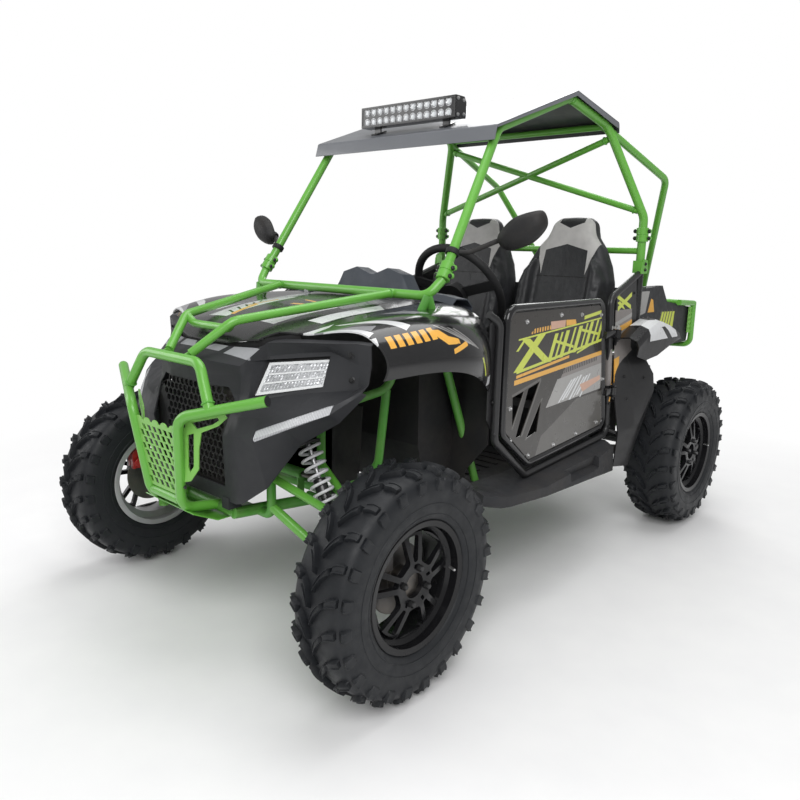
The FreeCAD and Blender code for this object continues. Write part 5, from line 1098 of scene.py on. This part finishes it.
def linings():  # seal under the hood's front edge, finned core, bulkhead, cheeks, rear panes
    shelf = prism([(-130, -1024), (130, -1024), (236, -928), (236, -880), (-236, -880), (-236, -928)], "Z", 798, 801)
    stations = [(0, -1031, 816, 832), (95, -1026, 816, 834), (123, -1019, 818, 837), (168, -1006, 826, 843),
                (196, -984, 834, 852), (242, -941, 842, 862), (256, -928, 846, 864)]
    stations = [(-x, y, a, b) for x, y, a, b in stations[:0:-1]] + stations
    seal = strip(np.array([[(x, y, a), (x, y, b), (x, y + 2, b), (x, y + 2, a)] for x, y, a, b in stations]) / 1000)
    core = prism([(-1052, 452), (-1030, 452), (-1030, 738), (-1052, 738)], "X", -150, 150)
    fins = [prism([(-1056, z), (-1052, z), (-1052, z + 1.2), (-1056, z + 1.2)], "X", -148, 148)
            for z in np.arange(456, 698, 8.0)]
    wall = prism([(-130, 384), (240, 384), (256, 640), (-130, 640)], "Y", -702, -699)
    cheek = prism([(150, 478), (202, 492), (206, 640), (150, 640)], "Y", -1071, -1069)
    pane = prism([(330, 395), (490, 385), (490, 705), (330, 705)], "X", 467, 470)
    return [(join([shelf, seal, both(join([wall, cheek, pane]))]), "mouldingDark"), (join([core] + fins), "frameBlack")]


piece("noseLinings", linings(), "chassis", nodeSlot["grille"])


def skinBolts():  # bolts of the body skins, each with the way its panel faces
    spots = [((411, -894.5, 762), (0.475, -0.873, 0.114), 7), ((406, -893.5, 823), (0.261, -0.936, 0.0), 7),
             ((494.3, 499, 937), (1, 0, 0.07), 6), ((571, 474.7, 627.3), (0.827, -0.405, 0.39), 6),
             ((532, 392.1, 634.5), (0.905, -0.362, 0.223), 6), ((548.4, 391.1, 553), (0.885, -0.449, 0.125), 6),
             ((512, 322.3, 541), (0.777, -0.628, -0.05), 6), ((514.3, 333, 452.5), (0.937, -0.346, 0.05), 6),
             ((501.1, -409.8, 649), (-0.16, -0.987, 0), 6), ((508.6, -408.6, 551), (0.42, -0.906, 0), 6)]
    return join([bolt(*spot) for spot in spots])


piece("skinBoltHeads", [(both(skinBolts()), "boltDark")], "chassis", nodeSlot["side_panels"])


def guardPlates():  # slotted green plates that close the corner guards behind the bed
    loop = [(1128, 742), (1168, 736), (1192, 752), (1194, 850), (1128, 858)]
    square = np.array([(-5, -5), (5, -5), (5, 5), (-5, 5)])
    spots = [(1138 + 18 * k + 5 * (row % 2), 758 + 20 * row) for row in range(5) for k in range(3)]
    return holedPlate(loop, [square + p for p in spots if p[0] < 1180], 3, (474, 0, 0), (0, 1, 0), (0, 0, 1))


# the guard plates take the paler green that paints light
piece("bedGuardPlates", [(both(guardPlates()), "greenPaintedLight")], "chassis", nodeSlot["bed_frame"])


def seatFinish():  # black grained vinyl with a pale yoke round a black hexagon
    f = Finish("seatVinyl")
    x, y, z = f.xyz()
    s = abs(abs(x) - 0.224)
    front = (y - z * 0.235 - 0.1955) < 0.030
    yoke = patches((s, z), [(-5, 1114), (92, 1089), (130, 1121), (112, 1212), (84, 1240), (-5, 1240)],
                     [(91, 1092), (132, 1122), (96, 997)])
    hexagon = patch((s, z), (-5, 1172), (54, 1195), (48, 1245), (-5, 1245))
    seam = (abs(z - 0.988) < 0.0016) * (s < 0.112) * front
    colour = f.mix(f.span(f.noise(9.0), 0.3, 0.7), (0.014, 0.0145, 0.016), (0.026, 0.027, 0.030))
    pale = f.mix(f.span(f.noise(30.0), 0.3, 0.7), (0.42, 0.41, 0.40), (0.50, 0.49, 0.475))
    for mask, over in ((yoke * front, pale), (hexagon * front, (0.018, 0.018, 0.020)), (seam, (0.004, 0.004, 0.004))):
        colour = f.mix(mask, colour, over)
    creases = f.noise(16.0, 4.0, 0.6, (1.0, 1.0, 0.35))
    height = creases * 0.9 + f.noise(420.0, 2.0) * 0.12 - seam * 0.6
    rough = f.span(f.noise(50.0), 0.3, 0.7, 0.40, 0.52)
    return f.done(colour=colour, rough=rough, gloss=0.42, normal=f.bump(height, 0.004))


paint["seat"] = seatFinish()
swell = {"voxel": 0.0095, "pressure": 4.0, "frames": 20, "cap": 0.006, "shrink": 0.004}


def puffed(mesh):  # the solid remeshed, swollen by cloth pressure, each point held within the cap
    cfg = swell
    bm = bmesh.new()
    bm.from_mesh(mesh)
    bmesh.ops.remove_doubles(bm, verts=bm.verts, dist=meshGap["cad"])
    bm.normal_update()
    for v in bm.verts:
        v.co -= v.normal * cfg["shrink"]
    work = bpy.data.meshes.new("seatWork")
    bm.to_mesh(work)
    bm.free()
    ob = bpy.data.objects.new("seatWork", work)
    scene.collection.objects.link(ob)
    skin = ob.modifiers.new("voxels", "REMESH")
    skin.mode, skin.voxel_size = "VOXEL", cfg["voxel"]
    deps = bpy.context.evaluated_depsgraph_get()
    ob.data = bpy.data.meshes.new_from_object(ob.evaluated_get(deps))
    ob.modifiers.clear()
    rest = np.array([v.co[:] for v in ob.data.vertices])
    cloth = ob.modifiers.new("fill", "CLOTH")
    cloth.settings.use_pressure, cloth.settings.uniform_pressure_force = True, cfg["pressure"]
    cloth.settings.quality, cloth.settings.mass = 4, 0.4
    cloth.settings.effector_weights.gravity = 0
    cloth.point_cache.frame_start, cloth.point_cache.frame_end = 1, cfg["frames"]
    for k in range(1, cfg["frames"] + 1):
        scene.frame_set(k)
    deps = bpy.context.evaluated_depsgraph_get()
    grown = bpy.data.meshes.new_from_object(ob.evaluated_get(deps))
    ob.modifiers.clear()
    scene.frame_set(1)
    now = np.array([v.co[:] for v in grown.vertices])
    move = now - rest
    far = np.linalg.norm(move, axis=1)[:, None]
    rest = rest + move * np.minimum(1, cfg["cap"] / np.maximum(far, 1e-9))
    print("seat swelled by up to", round(float(far.max() * 1000), 1), "mm before the cap")
    out = ob.data.copy()
    out.vertices.foreach_set("co", rest.ravel())
    bpy.data.objects.remove(ob)
    return out


seatMesh = puffed(nodes["seat_left"].data)
for tag in ("left", "right"):
    mesh = seatMesh.copy()
    if tag == "right":
        mesh.transform(Matrix.Scale(-1, 4, (1, 0, 0)))
        mesh.flip_normals()
    mesh.materials.clear()
    mesh.materials.append(paint["seat"])
    mesh.shade_smooth()
    ob = bpy.data.objects.new("seatPad_" + tag, mesh)
    scene.collection.objects.link(ob)
    fine = ob.modifiers.new("rounder", "SUBSURF")
    fine.levels = fine.render_levels = 1
    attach(ob, nodeBody["seat_" + tag])
    nodeSlot["seat_" + tag]
    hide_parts("seat_" + tag)
print("seats filled")

# The rest of the solids keep their shape: merged copies with eased edges
# fascia takes the nose film with painted reflection patches
# main_frame takes the darker green that paints shade
plain = {"light_bar": "blackGloss", "fascia": "noseWithPaintedReflection", "headlights": "lampGlassPaintedReflection", "strip_lamps": "stripGlassPaintedShading",
         "grille": "mouldingDark", "hood": "hoodPrint", "front_fenders": "fenderPrint", "main_frame": "greenPaintedShade",
         "floor_pan": "mouldingDark", "seat_deck": "mouldingDark", "dash": "dashMoulding", "steering_wheel": "rubber",
         "steering_column": "frameBlack", "door_frame_left": "blackGloss", "door_frame_right": "blackGloss",
         "door_panel_left": "doorPrint", "door_panel_right": "doorPrint", "side_panels": "quarterPrint",
         "rockers": "moulding", "rear_fenders": "rearFenderPrint", "cargo_bed": "bedPrint", "bed_frame": "green",
         "engine_block": "cast", "muffler": "steelDark", "front_arms": "green", "knuckle_left": "cast",
         "knuckle_right": "cast", "steering_rack": "steelDark", "rear_arms": "frameBlack", "tail_lamps": "tailRed",
         "hub_front_left": "steelDark", "hub_front_right": "steelDark", "hub_rear_left": "boltDark",
         "hub_rear_right": "boltDark"}
for node, key in plain.items():
    dress(node, key)
print("solids dressed:", len(plain))

reach = 14.0  # half the floor's side, in metres
floorMesh = bpy.data.meshes.new("studioFloor")
corners = [(-reach, -reach, 0), (reach, -reach, 0), (reach, reach, 0), (-reach, reach, 0)]
floorMesh.from_pydata(corners, [], [(0, 1, 2, 3)])
studioFloor = bpy.data.objects.new("studioFloor", floorMesh)
scene.collection.objects.link(studioFloor)
f = Finish("paleFloor")
x, y = f.xyz()[:2]
far = f.span(x * x + y * y, 1.9, 7.0)  # the floor fades to plain white for the camera, its shadow stays near the wheels
seen = f.add("ShaderNodeLightPath", out=0)
white = f.add("ShaderNodeEmission", None, {"Strength": 1.0})
f.done(colour=f.mix(f.span(f.noise(6.0), 0.3, 0.7), (0.86, 0.86, 0.865), (0.89, 0.89, 0.89)), rough=0.7)
blend = f.add("ShaderNodeMixShader", None, {0: far * seen, 1: Sock(f, f.shader.outputs[0]), 2: white})
f.tree.links.new(blend.socket, f.tree.nodes["Material Output"].inputs[0])
floorMesh.materials.append(f.material)

world = bpy.data.worlds.new("studio")
scene.world = world
world.use_nodes = True
tree = world.node_tree
sky = tree.nodes["Background"]
sky.inputs[0].default_value = (1, 1, 1, 1)
path = tree.nodes.new("ShaderNodeLightPath")
pick = tree.nodes.new("ShaderNodeMapRange")
tree.links.new(path.outputs["Is Camera Ray"], pick.inputs[0])
pick.inputs[3].default_value = light["sky"]
pick.inputs[4].default_value = 1.0
tree.links.new(pick.outputs[0], sky.inputs[1])
